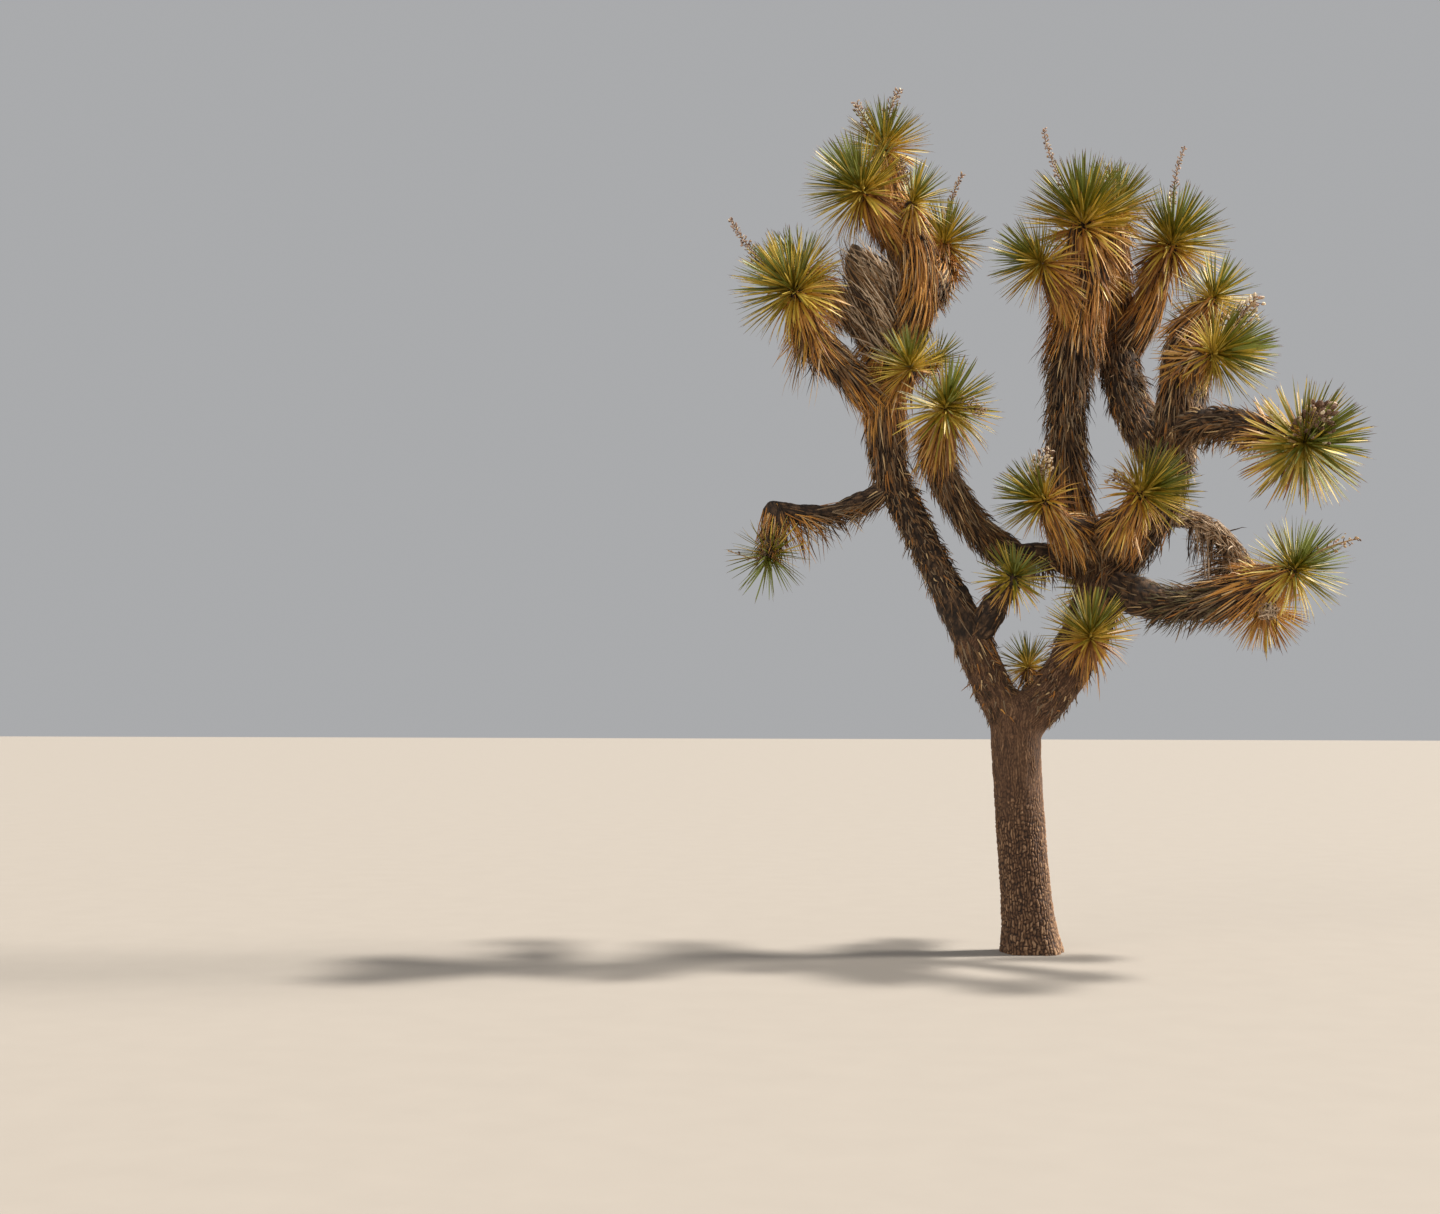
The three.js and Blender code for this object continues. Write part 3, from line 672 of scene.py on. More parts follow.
dead_materials = palette(
    "dead",
    fibre=(150, 126, 101, 0.9),
    pale=(208, 185, 158, 0.9),
    dark=(62, 46, 33, 0.9),
    tan=(128, 96, 62, 0.9),
)


def bark_material(name, crack, low, middle, plate):
    """Plates and cracks coloured from the relief that the mesh carries, darker the deeper a crack goes: the
    bark's own darker colour in the cracks, and painted shade there.
    """
    made = Shading(name, 0.88)
    relief = made.add("Attribute")
    relief.attribute_name = "relief"
    crack, low, middle, plate = (colour(*shade) for shade in (crack, low, middle, plate))
    height = relief.outputs["Fac"]
    # The colour darkens with the relief down into each crack: the bark's own darker colour there and painted
    # shade
    colour_with_crack_shade = made.ramp(height, (0.0, crack), (1.0, plate), (0.3, low), (0.62, middle))
    grain = made.grain(160, 4, (1, 1, 0.35))
    tint = made.ramp(made.grain(7, 3), (0.3, (0.72, 0.66, 0.62, 1)), (0.7, (1, 1, 1, 1)))
    coarse = made.add("MapRange", Value=grain, From_Min=0.36, From_Max=0.64, To_Min=0.2, To_Max=0.8)
    tinted = made.mix("MULTIPLY", 0.7, colour_with_crack_shade, tint)
    speckled = made.mix("OVERLAY", 0.6, tinted, coarse.outputs["Result"])
    return made.finish(speckled, grain, 0.5, 0.003)


# Bark of the trunk and the two lowest boughs


def crack_distances(points):
    """For each point, how far it stands from the crack between two plates, and a number for its plate."""
    edge = np.empty(len(points))
    plate = np.empty(len(points))
    for k, point in enumerate(points.tolist()):
        distances, seeds = noise.voronoi(point)
        edge[k] = distances[1] - distances[0]
        seed = seeds[0]
        plate[k] = math.sin(seed[0] * 12.9 + seed[1] * 78.2 + seed[2] * 37.7) * 43758.5 % 1
    return edge, plate


def lumps_at(points):
    """Smooth noise at each point."""
    return np.array([noise.noise(p) for p in points.tolist()])


def warp(points):
    """A smooth random push for each point, so that plates come out uneven."""
    return np.array([noise.noise_vector(p) for p in points.tolist()])


def hashed(a, b):
    """A number from 0 to 1 for each pair of whole numbers, that looks random."""
    return np.abs(np.sin(a * 127.1 + b * 311.7 + 1.3) * 43758.5453) % 1


def plates(turn, along, arc, shape):
    """Bark split into upright columns of plates. How far each point stands from a crack, in metres, and a
    number for its plate. turn is from 0 to 1 round the limb, arc is the way round in metres, and shape is
    the number of columns and the height of a plate."""
    columns, tall = shape
    column_at = turn * columns
    column = np.floor(column_at)
    wide = arc / columns
    to_side = np.minimum(column_at - column, column + 1 - column_at) * wide
    column %= columns
    rise = along / tall * (0.8 + 0.4 * hashed(column, 5)) + 9 * hashed(column, 2)
    row = np.floor(rise)
    edge = row + 0.5 * hashed(column, row)
    below = rise < edge
    nearest = np.where(rise - row < 0.75, edge, row + 1 + 0.5 * hashed(column, row + 1))
    joined = hashed(column + 3, np.where(nearest == edge, row, row + 1)) < JOINED_PLATES
    to_end = np.where(joined, 1.0, np.abs(rise - nearest) * tall)
    return np.minimum(to_side, to_end), hashed(column + 7, row - below)


def bark_heights(points):
    """Relief from 0 in a crack to 1 on a plate, and its depth in metres, for points on the bark."""
    total = np.zeros(len(points))
    depth = np.zeros(len(points))
    weight = np.zeros(len(points))
    for number, name in enumerate(BARE_LIMBS):
        limb = limbs[name]
        gap = np.empty(len(points))
        share = np.empty(len(points))
        for low in range(0, len(points), 8000):
            part = points[low : low + 8000]
            far = np.linalg.norm(part[:, None] - limb.curve.points[None], axis=-1)
            best = far.argmin(axis=1)
            share[low : low + 8000] = limb.curve.shares[best]
            gap[low : low + 8000] = far.min(axis=1)
        nearness = np.exp(-8 * np.maximum(0, gap / limb.radius(share) - 0.95))
        used = nearness > 0.02
        near = nearness[used]
        centre, tangent, side, other = (row[used] for row in limb.curve.frame(share))
        offset = points[used] - centre
        along = share[used] * limb.curve.length + dot(offset, tangent)[:, 0]
        local = np.stack([dot(offset, side)[:, 0], dot(offset, other)[:, 0], along], axis=-1) + number * 3.3
        arc = 2 * math.pi * limb.radius(share[used])
        turn = np.arctan2(dot(offset, other), dot(offset, side))[:, 0] / (2 * math.pi) + 0.5
        push = 0.014 * warp(local * (22, 22, 14)) + 0.007 * warp(local * (60, 60, 40) + 5)
        wavy = turn + push[:, 0] / arc
        edge, plate = plates(wavy, along + 1.4 * push[:, 1], arc, LOW_PLATES)
        coarse = ease(0.0, 0.0065, edge) * (0.8 + 0.6 * (plate - 0.5))
        edge, plate = plates(wavy + 0.3, along + 2 * push[:, 2], arc, HIGH_PLATES)
        fine = ease(0.0, 0.008, edge) * (0.75 + 0.7 * (plate - 0.5))
        lumps = 0.5 + 0.5 * warp(local * (30, 30, 9) + 9)[:, 0]
        low_down = 1 - ease(0.6, 1.15, points[used, 2])
        weight[used] += near
        total[used] += near * (low_down * coarse + (1 - low_down) * (0.7 * fine + 0.45 * lumps))
        depth[used] += near * BARK_DEPTH
    weight = np.maximum(weight, 1e-6)
    return total / weight, depth / weight


def melt_fork(mesh):
    """Rounds the fork, where the boughs grow out of the trunk."""
    points = read_vectors(mesh, "co")
    ends = np.empty(len(mesh.edges) * 2, np.int32)
    mesh.edges.foreach_get("vertices", ends)
    a, b = ends[0::2], ends[1::2]
    count = len(points)
    near = np.maximum(1, np.bincount(a, minlength=count) + np.bincount(b, minlength=count))
    fork = limbs["trunk"].curve.at(1.0)
    pull = 0.9 * (1 - ease(0.12, 0.36, np.linalg.norm(points - fork, axis=1)))[:, None]
    for _ in range(FORK_STEPS):
        total = np.empty_like(points)
        for k in range(3):
            total[:, k] = np.bincount(a, points[b, k], count) + np.bincount(b, points[a, k], count)
        points += pull * (total / near[:, None] - points)
    set_points(mesh, points)
    mesh.update()


def cut_flat(mesh):
    """Cuts a mesh off at the ground and closes it with flat faces."""
    work = bmesh.new()
    work.from_mesh(mesh)
    everything = list(work.verts) + list(work.edges) + list(work.faces)
    cut = bmesh.ops.bisect_plane(
        work, geom=everything, dist=1e-5, plane_co=(0, 0, 0), plane_no=(0, 0, 1), clear_inner=True
    )
    rim = [item for item in cut["geom_cut"] if isinstance(item, bmesh.types.BMEdge)]
    filled = bmesh.ops.triangle_fill(work, edges=rim, use_beauty=True)
    bmesh.ops.recalc_face_normals(work, faces=list(work.faces))
    for item in filled["geom"]:
        if isinstance(item, bmesh.types.BMFace):
            item.smooth = False
    work.to_mesh(mesh)
    work.free()
    mesh.update()


def make_bark():
    """The trunk and the two lowest boughs as one skin with plates in relief."""
    heap = Heap()
    for name in BARE_LIMBS:
        vertices, faces = tube(limbs[name], 60, 48, lambda share: np.full_like(share, BARK_FILL))
        heap.add(vertices, faces, np.zeros(len(faces), int))
    # The first colour, in the cracks, is the bark's own darker colour with painted shade
    surface = bark_material("plated_bark", (34, 22, 15), (80, 56, 39), (114, 84, 60), (160, 128, 98))
    bark = heap.make("bark", [surface], smooth=True)
    remesh = bark.modifiers.new("remesh", "REMESH")
    remesh.mode = "VOXEL"
    remesh.voxel_size = BARK_VOXEL
    remesh.use_smooth_shade = True
    melt = bark.modifiers.new("melt", "SMOOTH")
    melt.factor = 0.5
    melt.iterations = BARK_SMOOTHING
    depsgraph = bpy.context.evaluated_depsgraph_get()
    mesh = bpy.data.meshes.new_from_object(bark.evaluated_get(depsgraph))
    old = bark.data
    bark.modifiers.clear()
    bark.data = mesh
    bpy.data.meshes.remove(old)
    mesh.name = "bark"
    melt_fork(mesh)
    points = read_vectors(mesh, "co")
    normals = read_vectors(mesh, "normal")
    height, depth = bark_heights(points)
    ripple = lumps_at(points * 11.0)
    points += normals * (((height - 0.75) * depth) + RIPPLE * ripple)[:, None]
    set_points(mesh, points)
    set_relief(mesh, height)
    cut_flat(mesh)
    settle(bark, BARE_LIMBS)


# Thatch of dead leaves


def blade_slots(young, random, drab):
    """A palette slot for every ring of every blade: golden near a rosette, brown and grey on old wood."""
    count = len(young)
    fresh = random.choice([GOLD, ORANGE, BROWN, PALE, DARK], p=[0.38, 0.28, 0.16, 0.08, 0.10], size=count)
    aged = random.choice([BROWN, DARK, GREY, ORANGE, PALE], p=[0.38, 0.30, 0.22, 0.06, 0.04], size=count)
    aged = np.where(random.random(count) < drab, random.choice([DRAB, DARK, GREY], size=count), aged)
    slots = np.where(random.random(count) < ease(0.15, 0.9, young), fresh, aged)
    return np.repeat(slots[:, None], len(BLADE_TAPER), axis=1)


def core_fill(limb, share, thin=CORE_SHARE):
    """The share of a limb's radius that its core takes up: nearly all of it where bark shows, else thin."""
    if limb.name in BARE_LIMBS:
        return np.full(np.shape(share), 0.97)
    bark = BARK_REACH.get(limb.name, -1)
    return thin + (0.96 - thin) * (1 - ease(bark - 0.08, bark + 0.12, share))


def add_thatch(heap, limb, random, low=0.0, high=1.0, golden=None, crowd=1.0, size=1.0, flare=0.0, drab=0.0):
    """Dead leaves on a limb from share low to high, each bent back along it from its root, those under a
    level limb hanging. golden sets how golden they are, which otherwise follows from the nearest rosette."""
    bald = BALD.get(limb.name, 0)
    hung = HUNG.get(limb.name, 1)
    length = limb.curve.length
    count = int(BLADES_PER_METRE * crowd * length * (high - low) * (limb.radius(0.5) / 0.1) ** 0.7)
    share = low + (high - low) * (np.arange(count) + random.random(count)) / max(count, 1)
    turn = random.random(count) * 2 * math.pi
    point, tangent, side, other = limb.curve.frame(share)
    outward = spoke(turn, side, other)
    level = 1 - np.abs(tangent[:, 2])
    kept = random.random(count) > bald * ease(-0.3, 0.3, outward[:, 2]) * ease(0.1, 0.3, level)
    share, point, tangent, outward, level = (a[kept] for a in (share, point, tangent, outward, level))
    count = len(share)
    radius = limb.radius(share)
    young = youth(point, GOLDEN_REACH.get(limb.name, 0.5)) if golden is None else np.full(count, golden)
    blade = BLADE_LENGTH * size * (0.7 + 0.5 * random.random(count)) * (0.45 + 0.6 * young)
    if not limb.follows:
        blade = np.minimum(blade, share * length + 0.07)
    forward = np.where(tangent[:, 2] < -0.35, 1, -1)
    blade = np.where(forward > 0, np.minimum(blade, (high - share) * length + 0.06), blade)
    held = core_fill(limb, share)
    root = point + outward * (radius * held * 0.97)[:, None]
    under = 0.5 * (1 - outward[:, 2])
    loose = random.random(count) < LOOSE_BLADES
    shag = np.where(loose, 0.1 + 0.28 * random.random(count), random.normal(-0.08, 0.05, count))
    shag += 0.06 * young + flare * random.random(count)
    shag += FLARE.get(limb.name, 0.1) * 4 * young * (1 - young) * random.random(count)
    ends = limb.curve.at(share + forward * 0.95 * blade / length)
    least = held + 0.02 + 0.06 * random.random(count)
    lying = ends + outward * (radius * np.maximum(1 + shag, least))[:, None]
    hanging = root + outward * (0.22 * blade)[:, None] + np.array([0, 0, -1]) * (0.9 * blade)[:, None]
    hang = np.clip(level * under * (0.1 + 0.9 * random.random(count)) * 1.3 * hung, 0, 0.95)[:, None]
    end = lying * (1 - hang) + hanging * hang
    end += random.normal(0, 0.012, (count, 3))
    rise = radius * (1 - held) * 0.75 + 0.03 * blade
    middle = root + 0.42 * (end - root) + outward * rise[:, None] + random.normal(0, 0.004, (count, 3))
    centre = bent(root[:, None], middle[:, None], end[:, None], BLADE_STATIONS[None, :, None])
    centre[:, :, 2] = np.maximum(centre[:, :, 2], 0.02)
    heading = unit(end - root)
    twist = random.normal(0, 0.5, count)[:, None]
    across = unit(np.cross(heading, outward))
    up = unit(np.cross(across, heading))
    across, up = np.cos(twist) * across + np.sin(twist) * up, np.cos(twist) * up - np.sin(twist) * across
    broad = BLADE_WIDTH * (0.7 + 0.6 * random.random(count))
    width = broad[:, None] * BLADE_TAPER
    add_blades(heap, centre, -across, up, width, width * BLADE_THICKNESS, blade_slots(young, random, drab))


def add_core(heap, limb, share=CORE_SHARE, high=1.0, sides=30, step=0.02):
    """The limb itself under its thatch: furrowed bark with knots, filling the limb where it shows bark."""
    rows = max(6, int(limb.curve.length * high / step))
    vertices, faces = tube(limb, rows, sides, lambda at: core_fill(limb, at, share), high)
    shares = np.repeat(np.concatenate([np.linspace(0.0, high, rows), [high, high]]), sides)
    shares = np.concatenate([shares, [0.0, high]])
    centre, _, side, other = limb.curve.frame(shares)
    offset = vertices - centre
    along = shares * limb.curve.length
    local = np.stack([dot(offset, side)[:, 0], dot(offset, other)[:, 0], along], axis=-1)
    edge, plate = crack_distances(local / (0.02, 0.02, 0.06) + len(heap.faces) * 1.7)
    height = ease(0.0, 0.4, edge) * (0.75 + 0.5 * (plate - 0.5))
    lumps = lumps_at(vertices * 14.0)
    knots = lumps_at(vertices * 6.0 + 4)
    vertices = vertices + unit(offset + 1e-6) * (0.007 * height + 0.008 * lumps + 0.012 * knots)[:, None]
    if limb.name == "dead_stub":
        broken = unit(place(SNAPPED))
        above = dot(vertices - limb.curve.points[-1], broken) + (0.02 * lumps + 0.03 * knots)[:, None]
        vertices = vertices - broken * np.maximum(above, 0)
    heap.add(vertices, faces, np.zeros(len(faces), int), height)


def make_thatch():
    """Cores and dead leaves of every thatched limb, in a few pieces of their own regions."""
    regions = dict(thatch_left=[], thatch_centre=[], thatch_right=[], thatch_back=[])
    for index, (name, limb) in enumerate(limbs.items()):
        if name in BARE_LIMBS or name in DEAD_LIMBS:
            continue
        if name.startswith("back") or name in ("centre_back_stem", "top_left_side"):
            region = "thatch_back"
        elif name.startswith(("left", "top_left")) or name == "inner_riser":
            region = "thatch_left"
        elif name.startswith(("inner", "front")) or name == "centre_stem":
            region = "thatch_centre"
        else:
            region = "thatch_right"
        regions[region].append((index, name, limb))
    cores = Heap()
    for region, members in regions.items():
        heap = Heap()
        for index, name, limb in members:
            random = draws(index)
            low = BARK_REACH.get(name, 0)
            drab = 0.7 if name == "right_low_arm" else 0.0
            size = BLADE_SHARE.get(name, 1)
            crowd = 0.6 if name.startswith("back") else 1.0
            add_thatch(heap, limb, random, low=low, crowd=crowd, drab=drab, size=size)
            if low:
                add_thatch(heap, limb, random, low=0.05, high=low, crowd=0.22, size=0.7)
            sides, step = (40, 0.014) if name in BALD or name in BARK_REACH else (28, 0.022)
            add_core(cores, limb, sides=sides, step=step)
        if region == "thatch_centre":
            for index, name in enumerate(("left_bough", "right_bough")):
                random = draws(BOUGH_DRAWS + index)
                low = 0.85 if name == "left_bough" else 0.6
                add_thatch(heap, limbs[name], random, low=low, crowd=0.9, golden=0.2, size=0.75)
                add_thatch(heap, limbs[name], random, low=0.15, high=low, crowd=0.8, golden=0.2, size=0.25)
        heap.settle(region, thatch_materials, [name for _, name, _ in members], "thatch")
    for key, one in rosettes.items():
        share = 0.9 if key == "inner" else 0.6
        add_core(cores, one["stem"], share=share, high=0.8, sides=20, step=0.02)
    # The first colour, in the cracks, is the bark's own darker colour with painted shade
    bark = bark_material("old_bark", (28, 20, 14), (56, 41, 29), (82, 62, 44), (112, 88, 66))
    covered = [name for members in regions.values() for _, name, _ in members]
    cores.settle("limb_cores", [bark], covered, "thatch", smooth=True)


def make_skirts():
    """Golden skirts on the short stems of the rosettes."""
    heap = Heap()
    for index, (key, one) in enumerate(rosettes.items()):
        random = draws(SKIRT_DRAWS + index)
        golden, size = DULL_SKIRT.get(key, (0.92, 0.85))
        add_thatch(heap, one["stem"], random, low=0.1, high=0.9, golden=golden, size=size, flare=0.3)
    heap.settle("skirts", thatch_materials, rosette_nodes(rosettes), "thatch")


# Rosettes

hearts = np.array([one["heart"] for one in rosettes.values()])
sizes = np.array([one["leaf"] for one in rosettes.values()])


def clear_of_limbs(points):
    """True for each blade none of whose points is inside a limb."""
    free = np.ones(len(points), bool)
    for limb in limbs.values():
        line = limb.curve.points[::4]
        reach = limb.radius(limb.curve.shares[::4]) * 0.85
        near = np.linalg.norm(points[:, :, None] - line[None, None], axis=-1) < reach[None, None]
        free &= ~near.any(axis=(1, 2))
    return free


def leaf_slots(age, random, dry, glints):
    """Palette slots by age, from the grey-green bud to the brown skirt, with a dark tip on each."""
    age = age + random.normal(0, 0.12, len(age))
    slots = np.searchsorted(AGES, age)
    chance = random.random(len(age))
    slots = np.where((chance > 1 - glints) & (slots < YELLOW), YELLOW, slots)
    if dry:
        slots = random.choice([MUSTARD, TAN, RUSSET, YELLOW], p=[0.34, 0.3, 0.14, 0.22], size=len(age))
    tips = np.full(len(age), TIP)
    bases = np.where(slots <= OLIVE, np.minimum(slots + 1, YELLOW), slots)
    return np.stack([bases, slots, slots, tips], axis=1)


def leaf_line(root, direction, bend, length, stations):
    """Points along bent leaves, at these shares of their length."""
    t = np.asarray(stations)[None, :, None]
    return root[:, None] + length[:, None, None] * (direction[:, None] * t + bend[:, None] * t**2)


def leaf_way(tilt, axis, out):
    """The way a leaf points, tilted this far from its axis, and the way square to it that faces the axis."""
    return spoke(tilt, axis, out), np.sin(tilt)[:, None] * axis - np.cos(tilt)[:, None] * out


def add_leaves(heap, number, leaf, root, direction, inward, bend, full, slots, random):
    """Dagger leaves. One that would leave its rosette's space or run into a limb is made shorter or is left
    out."""
    others = np.arange(len(hearts)) != number
    length = np.zeros(len(root))
    for shorter in SHORTER:
        probe = leaf_line(root, direction, bend, full * shorter, (0.55, 0.8, 1.0))
        nearest = np.linalg.norm(probe[:, -1:] - hearts[None], axis=-1) / sizes[None]
        fits = (nearest[:, others] > nearest[:, number : number + 1]).all(axis=1)
        fits &= clear_of_limbs(probe)
        length = np.where((length == 0) & fits, full * shorter, length)
    kept = length > 0
    root, direction, inward, bend, length, slots = (
        row[kept] for row in (root, direction, inward, bend, length, slots)
    )
    centre = leaf_line(root, direction, bend, length, LEAF_STATIONS)
    across = unit(np.cross(direction, inward))
    twist = random.normal(0, 0.35, len(length))[:, None]
    across = unit(np.cos(twist) * across + np.sin(twist) * inward)
    up = unit(np.cross(across, direction))
    broad = leaf * LEAF_WIDTH * (0.8 + 0.4 * random.random(len(length)))
    width = broad[:, None] * LEAF_TAPER
    add_blades(heap, centre, across, up, width, -width * LEAF_THICKNESS, slots)


def add_rosette(heap, number, key, one, random):
    """Living leaves from the bud to the skirt, the oldest bent back, and the dead ones under them."""
    axis = one["axis"]
    leaf = one["leaf"]
    dry = key == "drooping"
    side = np.cross((0, 0, 1), axis)
    side = unit(side) if np.linalg.norm(side) > 0.1 else np.array([1.0, 0, 0])
    other = np.cross(axis, side)
    count = int(LEAVES_PER_ROSETTE * CROWD.get(key, 1) * (leaf / 0.3) ** 1.4)
    share = (np.arange(count) + 0.5) / count
    widest = math.radians(WIDEST[key]) if key in WIDEST else MOST_TILT
    tilt = np.arccos(math.cos(LEAST_TILT) - share * (math.cos(LEAST_TILT) - math.cos(widest)))
    tilt += random.normal(0, MUSSED.get(key, 0.09), count)
    turn = random.random() * 2 * math.pi + np.arange(count) * GOLDEN_TURN + random.normal(0, 0.15, count)
    out = spoke(turn, side, other)
    direction, inward = leaf_way(tilt, axis, out)
    full = leaf * (1 + LENGTH_SPREAD * (random.random(count) - 0.5)) * (0.92 + 0.06 * ease(0, 0.25, share))
    full *= 1 - OLD_SHRINK * ease(0.6, 1.0, share)
    root = one["crown"] - (share * LEAF_ZONE * leaf)[:, None] * axis + out * (0.012 * np.sin(tilt))[:, None]
    sag = 0.09 * np.sin(tilt) + SAGGING.get(key, 0) * ease(0.3, 0.8, share)
    bend = (
        -axis * (REFLEX * ease(0.55, 1.0, share) * (0.35 + 0.65 * random.random(count)))[:, None]
        + np.array([0, 0, -1.0]) * (sag * random.random(count))[:, None]
        + np.cross(axis, out) * random.normal(0, 0.04, count)[:, None]
        + inward * random.normal(0.02, 0.04, count)[:, None]
    )
    slots = leaf_slots(share + OLDER.get(key, 0), random, dry, GLINTS.get(key, 0.12))
    add_leaves(heap, number, leaf, root, direction, inward, bend, full, slots, random)

    stem = one["stem"].curve
    count = int(DEAD_SHARE * count * DEAD_LEAVES.get(key, 1))
    back = leaf * (0.36 + 0.5 * (np.arange(count) + 0.5) / max(count, 1))
    at = np.maximum(1 - back / stem.length, 0.05)
    point, tangent, side, other = stem.frame(at)
    turn = np.arange(count) * GOLDEN_TURN + random.normal(0, 0.3, count)
    out = spoke(turn, side, other)
    tilt = np.radians(112 + 42 * random.random(count))
    direction, inward = leaf_way(tilt, tangent, out)
    full = leaf * (0.5 + 0.3 * random.random(count))
    bend = np.array([0, 0, -1.0]) * (0.22 * random.random(count))[:, None]
    bend = bend - tangent * (0.2 * random.random(count))[:, None]
    slots = random.choice([MUSTARD, TAN, RUSSET, YELLOW], p=[0.34, 0.3, 0.28, 0.08], size=count)
    slots = np.stack([slots, slots, slots, np.full(count, TIP)], axis=1)
    add_leaves(heap, number, leaf * 0.85, point, direction, inward, bend, full, slots, random)


def make_leaves():
    """The leaves of all rosettes, in a few pieces."""
    keys = list(rosettes)
    groups = dict(leaves_left=[], leaves_back=[], dry_leaves=[], leaves_right=[])
    for key in keys:
        across, back, _ = rosettes[key]["crown"]
        if key == "drooping":
            groups["dry_leaves"].append(key)
        elif back >= 0.7:
            groups["leaves_back"].append(key)
        else:
            groups["leaves_left" if across < -0.4 else "leaves_right"].append(key)
    for name, members in groups.items():
        heap = Heap()
        for key in members:
            number = keys.index(key)
            add_rosette(heap, number, key, rosettes[key], draws(LEAF_DRAWS + number))
        slot = "dry_leaves" if name == "dry_leaves" else "leaves"
        heap.settle(name, leaf_materials, rosette_nodes(members), slot)


# Dried flower stalks


def add_pod(heap, centre, axis, size, slot):
    """A small six-sided seed pod."""
    side = unit(np.cross(axis, (0.3, 0.5, 0.8)))
    around = spoke(np.arange(6) * math.pi / 3, side, np.cross(axis, side))
    shape = (-0.6, 0.35), (0.0, 0.55), (0.6, 0.35)
    rings = [centre + axis * size * along + around * size * wide for along, wide in shape]
    vertices = np.concatenate(rings + [centre[None] - axis * size, centre[None] + axis * size])
    faces = closed_faces(3, 6)
    heap.add(vertices, faces, np.full(len(faces), slot))


def add_twig(heap, points, radii, slot):
    """A thin closed five-sided twig through a few points."""
    points = np.array(points)
    heading = unit(np.gradient(points, axis=0))
    side = unit(np.cross(heading, (0.31, 0.52, 0.79)))
    turn = np.arange(5) * 2 * math.pi / 5
    around = spoke(turn[None], side[:, None], np.cross(heading, side)[:, None])
    rings = points[:, None] + around * np.array(radii)[:, None, None]
    vertices = np.concatenate([rings.reshape(-1, 3), points[:1], points[-1:]])
    faces = closed_faces(len(points), 5)
    heap.add(vertices, faces, np.full(len(faces), slot))


def make_stalks():
    """Bowed stalks with short twigs, and two pods at the end of each twig."""
    heap = Heap()
    for index, (key, reach) in enumerate(STALKS):
        random = draws(STALK_DRAWS + index)
        shade, wide, crowd = STALK_LOOK.get(key, (0, 1.0, 1.0))
        start = rosettes[key]["crown"]
        reach = place(reach)
        tip = start + reach
        bow = np.array([-reach[2], 0, reach[0]]) * 0.06
        curve = Curve(start, (start + tip) / 2 + 2 * bow, tip)
        steps = np.linspace(0, 1, 12)
        add_twig(heap, curve.at(steps), (0.010 - 0.006 * steps) * min(wide, 1.3), 0)
        clusters = int((10 + curve.length / 0.020) * crowd)
        first = 0.05 if key == "far_right" else 0.32
        for k in range(clusters):
            share = first + (1.02 - first) * (k + 0.5) / clusters
            point, tangent, side, other = (row[0] for row in curve.frame(np.array([share])))
            turn = k * GOLDEN_TURN
            out = math.cos(turn) * side + math.sin(turn) * other
            twig = (0.056 - 0.034 * (share - first) / (1.02 - first)) * wide * (0.6 + 0.7 * random.random())
            end = point + out * twig + tangent * twig * 0.6
            add_twig(heap, [point, (point + end) / 2 + out * 0.004, end], [0.003, 0.0025, 0.002], 2)
            for _ in range(2):
                spot = end + random.normal(0, 0.009 * min(wide, 1), 3)
                axis = unit(out + tangent * 0.9 + random.normal(0, 0.45, 3))
                slot = shade if random.random() < 0.6 else random.integers(0, 4)
                size = 0.012 * max(wide, 0.65) * (0.5 + 0.8 * random.random())
                add_pod(heap, spot, axis, size, slot)
    bearers = dict(STALKS)
    heap.settle("flower_stalks", stalk_materials, rosette_nodes(bearers), "dry_leaves")


# Dead wood


def curled(centre, amount, random):
    """Middle lines of fibres, the ends more and more out of line."""
    stray = np.cumsum(random.normal(0, 1, centre.shape), axis=1)
    return centre + stray * amount * FIBRE_STATIONS[:, None]


def add_fibre_blades(heap, centre, heading, beside, broad, slots):
    """Thin blades along these middle lines, flat to the directions beside them."""
    across = unit(np.cross(heading, beside))
    up = unit(np.cross(across, heading))
    width = broad[:, None] * FIBRE_TAPER
    slots = np.repeat(slots[:, None], len(FIBRE_TAPER), axis=1)
    add_blades(heap, centre, -across, up, width, width * FIBRE_THICKNESS, slots)


def add_fibres(heap, limb, random, count, length, width, loose, sag, twist, slots):
    """Long dry fibres that run up a limb, twist round it, curl off it and sag."""
    run = length * (0.5 + random.random(count)) / limb.curve.length
    start = random.random(count) - 0.5 * run
    share = start[:, None] + run[:, None] * FIBRE_STATIONS
    turn = random.random(count)[:, None] * 2 * math.pi
    turn = turn + FIBRE_STATIONS * random.normal(twist, 0.3, count)[:, None]
    if limb.name == "dead_stub":
        _, tangent, side, other = limb.curve.frame(np.ones(turn.shape))
        broken = unit(place(SNAPPED))
        lean = dot(spoke(turn, side, other), broken)[..., 0] / dot(tangent, broken)[..., 0]
        drop = lean * limb.radius(np.array(1.0))
        edge = 1 - drop / limb.curve.length + random.normal(0, 0.05, count)[:, None]
        share = np.minimum(share, edge - 0.03 * (1 - FIBRE_STATIONS))
    share = np.maximum(share, 0.02)
    point, tangent, side, other = limb.curve.frame(share)
    out = spoke(turn, side, other)
    off = limb.radius(np.minimum(share, 1)) * (0.88 + 0.1 * random.random(count))[:, None]
    off = off + loose * (random.random(count) ** 2)[:, None] * FIBRE_STATIONS**1.5
    centre = point + out * off[..., None]
    centre[..., 2] -= sag * (random.random(count) ** 1.5)[:, None] * FIBRE_STATIONS**2
    centre = curled(centre, 0.25 * loose, random)
    heading = unit(centre[:, -1] - centre[:, 0])
    add_fibre_blades(heap, centre, heading, out[:, 2], width * (0.6 + 0.8 * random.random(count)), slots)


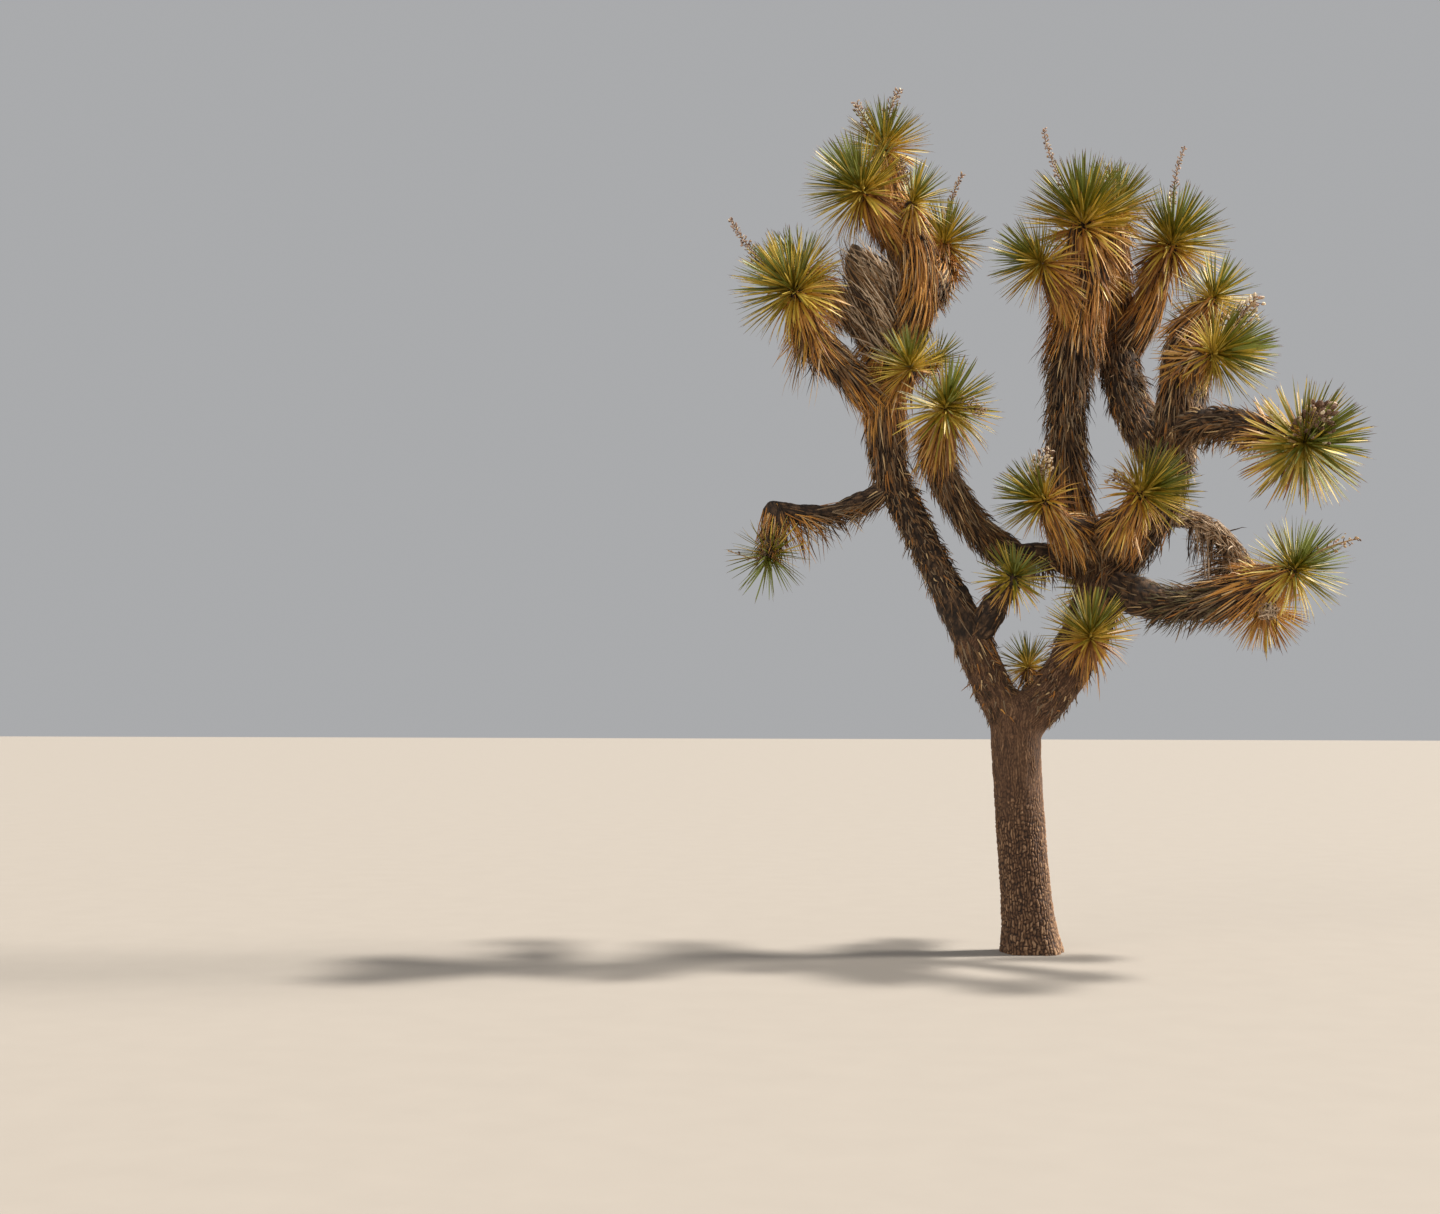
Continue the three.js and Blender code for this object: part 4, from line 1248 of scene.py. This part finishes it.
def add_strands(heap, limb, random, count, low, high, way, length, stray):
    """Dry leaves that hang from the underside of a limb, all roughly the same way, and curl."""
    share = low + (high - low) * random.random(count)
    point = limb.curve.at(share)
    heading = unit(np.array(way) + stray * random.normal(0, 0.5, (count, 3)))
    reach = length * (0.5 + random.random(count))
    down = unit(random.normal(0, 1, (count, 3)) + (0, 0, -1.0))
    start = point + down * (0.8 * limb.radius(share))[:, None]
    centre = start[:, None] + heading[:, None] * reach[:, None, None] * FIBRE_STATIONS[:, None]
    centre[..., 2] -= (0.3 * reach * random.random(count))[:, None] * FIBRE_STATIONS**2
    centre = curled(centre, 0.012, random)
    beside = random.normal(0, 1, (count, 3))
    broad = STRAND_WIDTH * (0.6 + 0.8 * random.random(count))
    slots = random.choice([0, 1, 2, 3], p=[0.3, 0.26, 0.24, 0.2], size=count)
    add_fibre_blades(heap, centre, heading, beside, broad, slots)


def add_curls(heap, middle, random):
    """Leaves curled up into a ball round this middle, the remains of a dead rosette."""
    bend = np.linspace(0, 1, 5)[None, :, None] * (1.6 + 1.6 * random.random(CURLS))[:, None, None]
    size = (0.017 + 0.019 * random.random(CURLS))[:, None, None]
    first = unit(random.normal(0, 1, (CURLS, 3)))
    second = unit(np.cross(first, random.normal(0, 1, (CURLS, 3))))
    off = unit(random.normal(0, 1, (CURLS, 3))) * (0.032 * random.random(CURLS) ** 0.5)[:, None]
    centre = (middle + off)[:, None] + size * spoke(bend[..., 0], first[:, None], second[:, None])
    width = np.full((CURLS, 4), 0.006) * np.array([1.0, 1.0, 0.9, 0.6])
    slots = np.repeat(random.choice([0, 1, 2], p=[0.35, 0.45, 0.2], size=CURLS)[:, None], 4, axis=1)
    across = np.cross(first, second)
    add_blades(heap, centre, across, unit(first + second), width, width * FIBRE_THICKNESS, slots)


def make_dead_wood():
    """The stub and the withered limb under their fibres, and what hangs dead from other limbs."""
    cores = Heap()
    fibres = Heap()
    for index, name in enumerate(DEAD_LIMBS):
        limb = limbs[name]
        random = draws(DEAD_DRAWS + index)
        stub = name == "dead_stub"
        add_core(cores, limb, share=0.9 if stub else 0.6)
        count = 900 if stub else int(1500 * limb.curve.length)
        mix = [0.26, 0.3, 0.22, 0.22] if stub else [0.3, 0.3, 0.2, 0.2]
        slots = random.choice([0, 1, 2, 3], p=mix, size=count)
        if stub:
            add_fibres(fibres, limb, random, count, 0.24, 0.0085, 0.05, 0.012, -1.1, slots)
        else:
            add_fibres(fibres, limb, random, count, 0.07, 0.008, 0.012, 0.01, 0.0, slots)
            if name == "dead_arch_fall":
                add_strands(fibres, limb, random, 200, 0.0, 0.9, (-0.6, 0, -0.4), 0.12, 0.9)
                add_strands(fibres, limb, random, 150, 0.55, 0.98, (-1.0, 0, -0.1), 0.21, 0.4)
            else:
                add_strands(fibres, limb, random, 40, 0.6, 0.8, (0, 0, -1.0), 0.17, 0.15)
                add_strands(fibres, limb, random, 40, 0.9, 1.0, (0, 0, -1.0), 0.2, 0.15)
    arm = limbs["left_mid_arm"]
    add_strands(fibres, arm, draws(STRAND_DRAWS), 45, 0.88, 1.0, (-0.35, -0.3, -1.0), 0.2, 0.2)
    add_curls(fibres, place(CURLED_BALL), draws(CURL_DRAWS))
    # The first colour, in the cracks, is the wood's own darker colour with painted shade
    wood = bark_material("weathered_wood", (58, 46, 36), (104, 88, 70), (146, 127, 105), (186, 168, 144))
    cores.settle("dead_cores", [wood], DEAD_LIMBS, "dead_wood", smooth=True)
    fibres.settle("dead_fibres", dead_materials, DEAD_LIMBS, "dead_wood")


make_bark()
make_thatch()
make_skirts()
make_leaves()
make_stalks()
make_dead_wood()


# Floor, light and camera

floor_mesh = bpy.data.meshes.new("floor")
floor_mesh.from_pydata([(-60, -60, 0), (60, -60, 0), (60, 60, 0), (-60, 60, 0)], [], [(0, 1, 2, 3)])
floor = bpy.data.objects.new("floor", floor_mesh)
bpy.context.scene.collection.objects.link(floor)
floor_mesh.materials.append(plain_material("pale_floor", colour(*FLOOR_COLOUR), 0.9, 0.02, (1, 1, 1), 0.0))

world = bpy.data.worlds.new("studio")
bpy.context.scene.world = world
world.use_nodes = True
sky = world.node_tree.nodes["Background"].inputs
sky["Color"].default_value = SKY
sky["Strength"].default_value = SKY_STRENGTH

for name, (direction, strength, angle, tone) in SUNS.items():
    light = bpy.data.lights.new(name, "SUN")
    light.energy = strength
    light.angle = math.radians(angle)
    light.color = tone
    lamp = bpy.data.objects.new(name, light)
    x, y, z = direction
    lamp.rotation_euler = (math.atan2(math.hypot(x, y), z), 0, math.atan2(y, x) + math.pi / 2)
    bpy.context.scene.collection.objects.link(lamp)

camera_data = bpy.data.cameras.new("camera")
camera_data.lens = 50
camera_data.sensor_width = 36
camera_data.clip_end = 200
camera = bpy.data.objects.new("camera", camera_data)
camera.location = CAMERA_PLACE
camera.rotation_euler = (math.radians(90 + CAMERA_UP), 0, math.radians(CAMERA_TURN))
bpy.context.scene.collection.objects.link(camera)
bpy.context.scene.camera = camera
bpy.context.scene.view_settings.view_transform = "Standard"
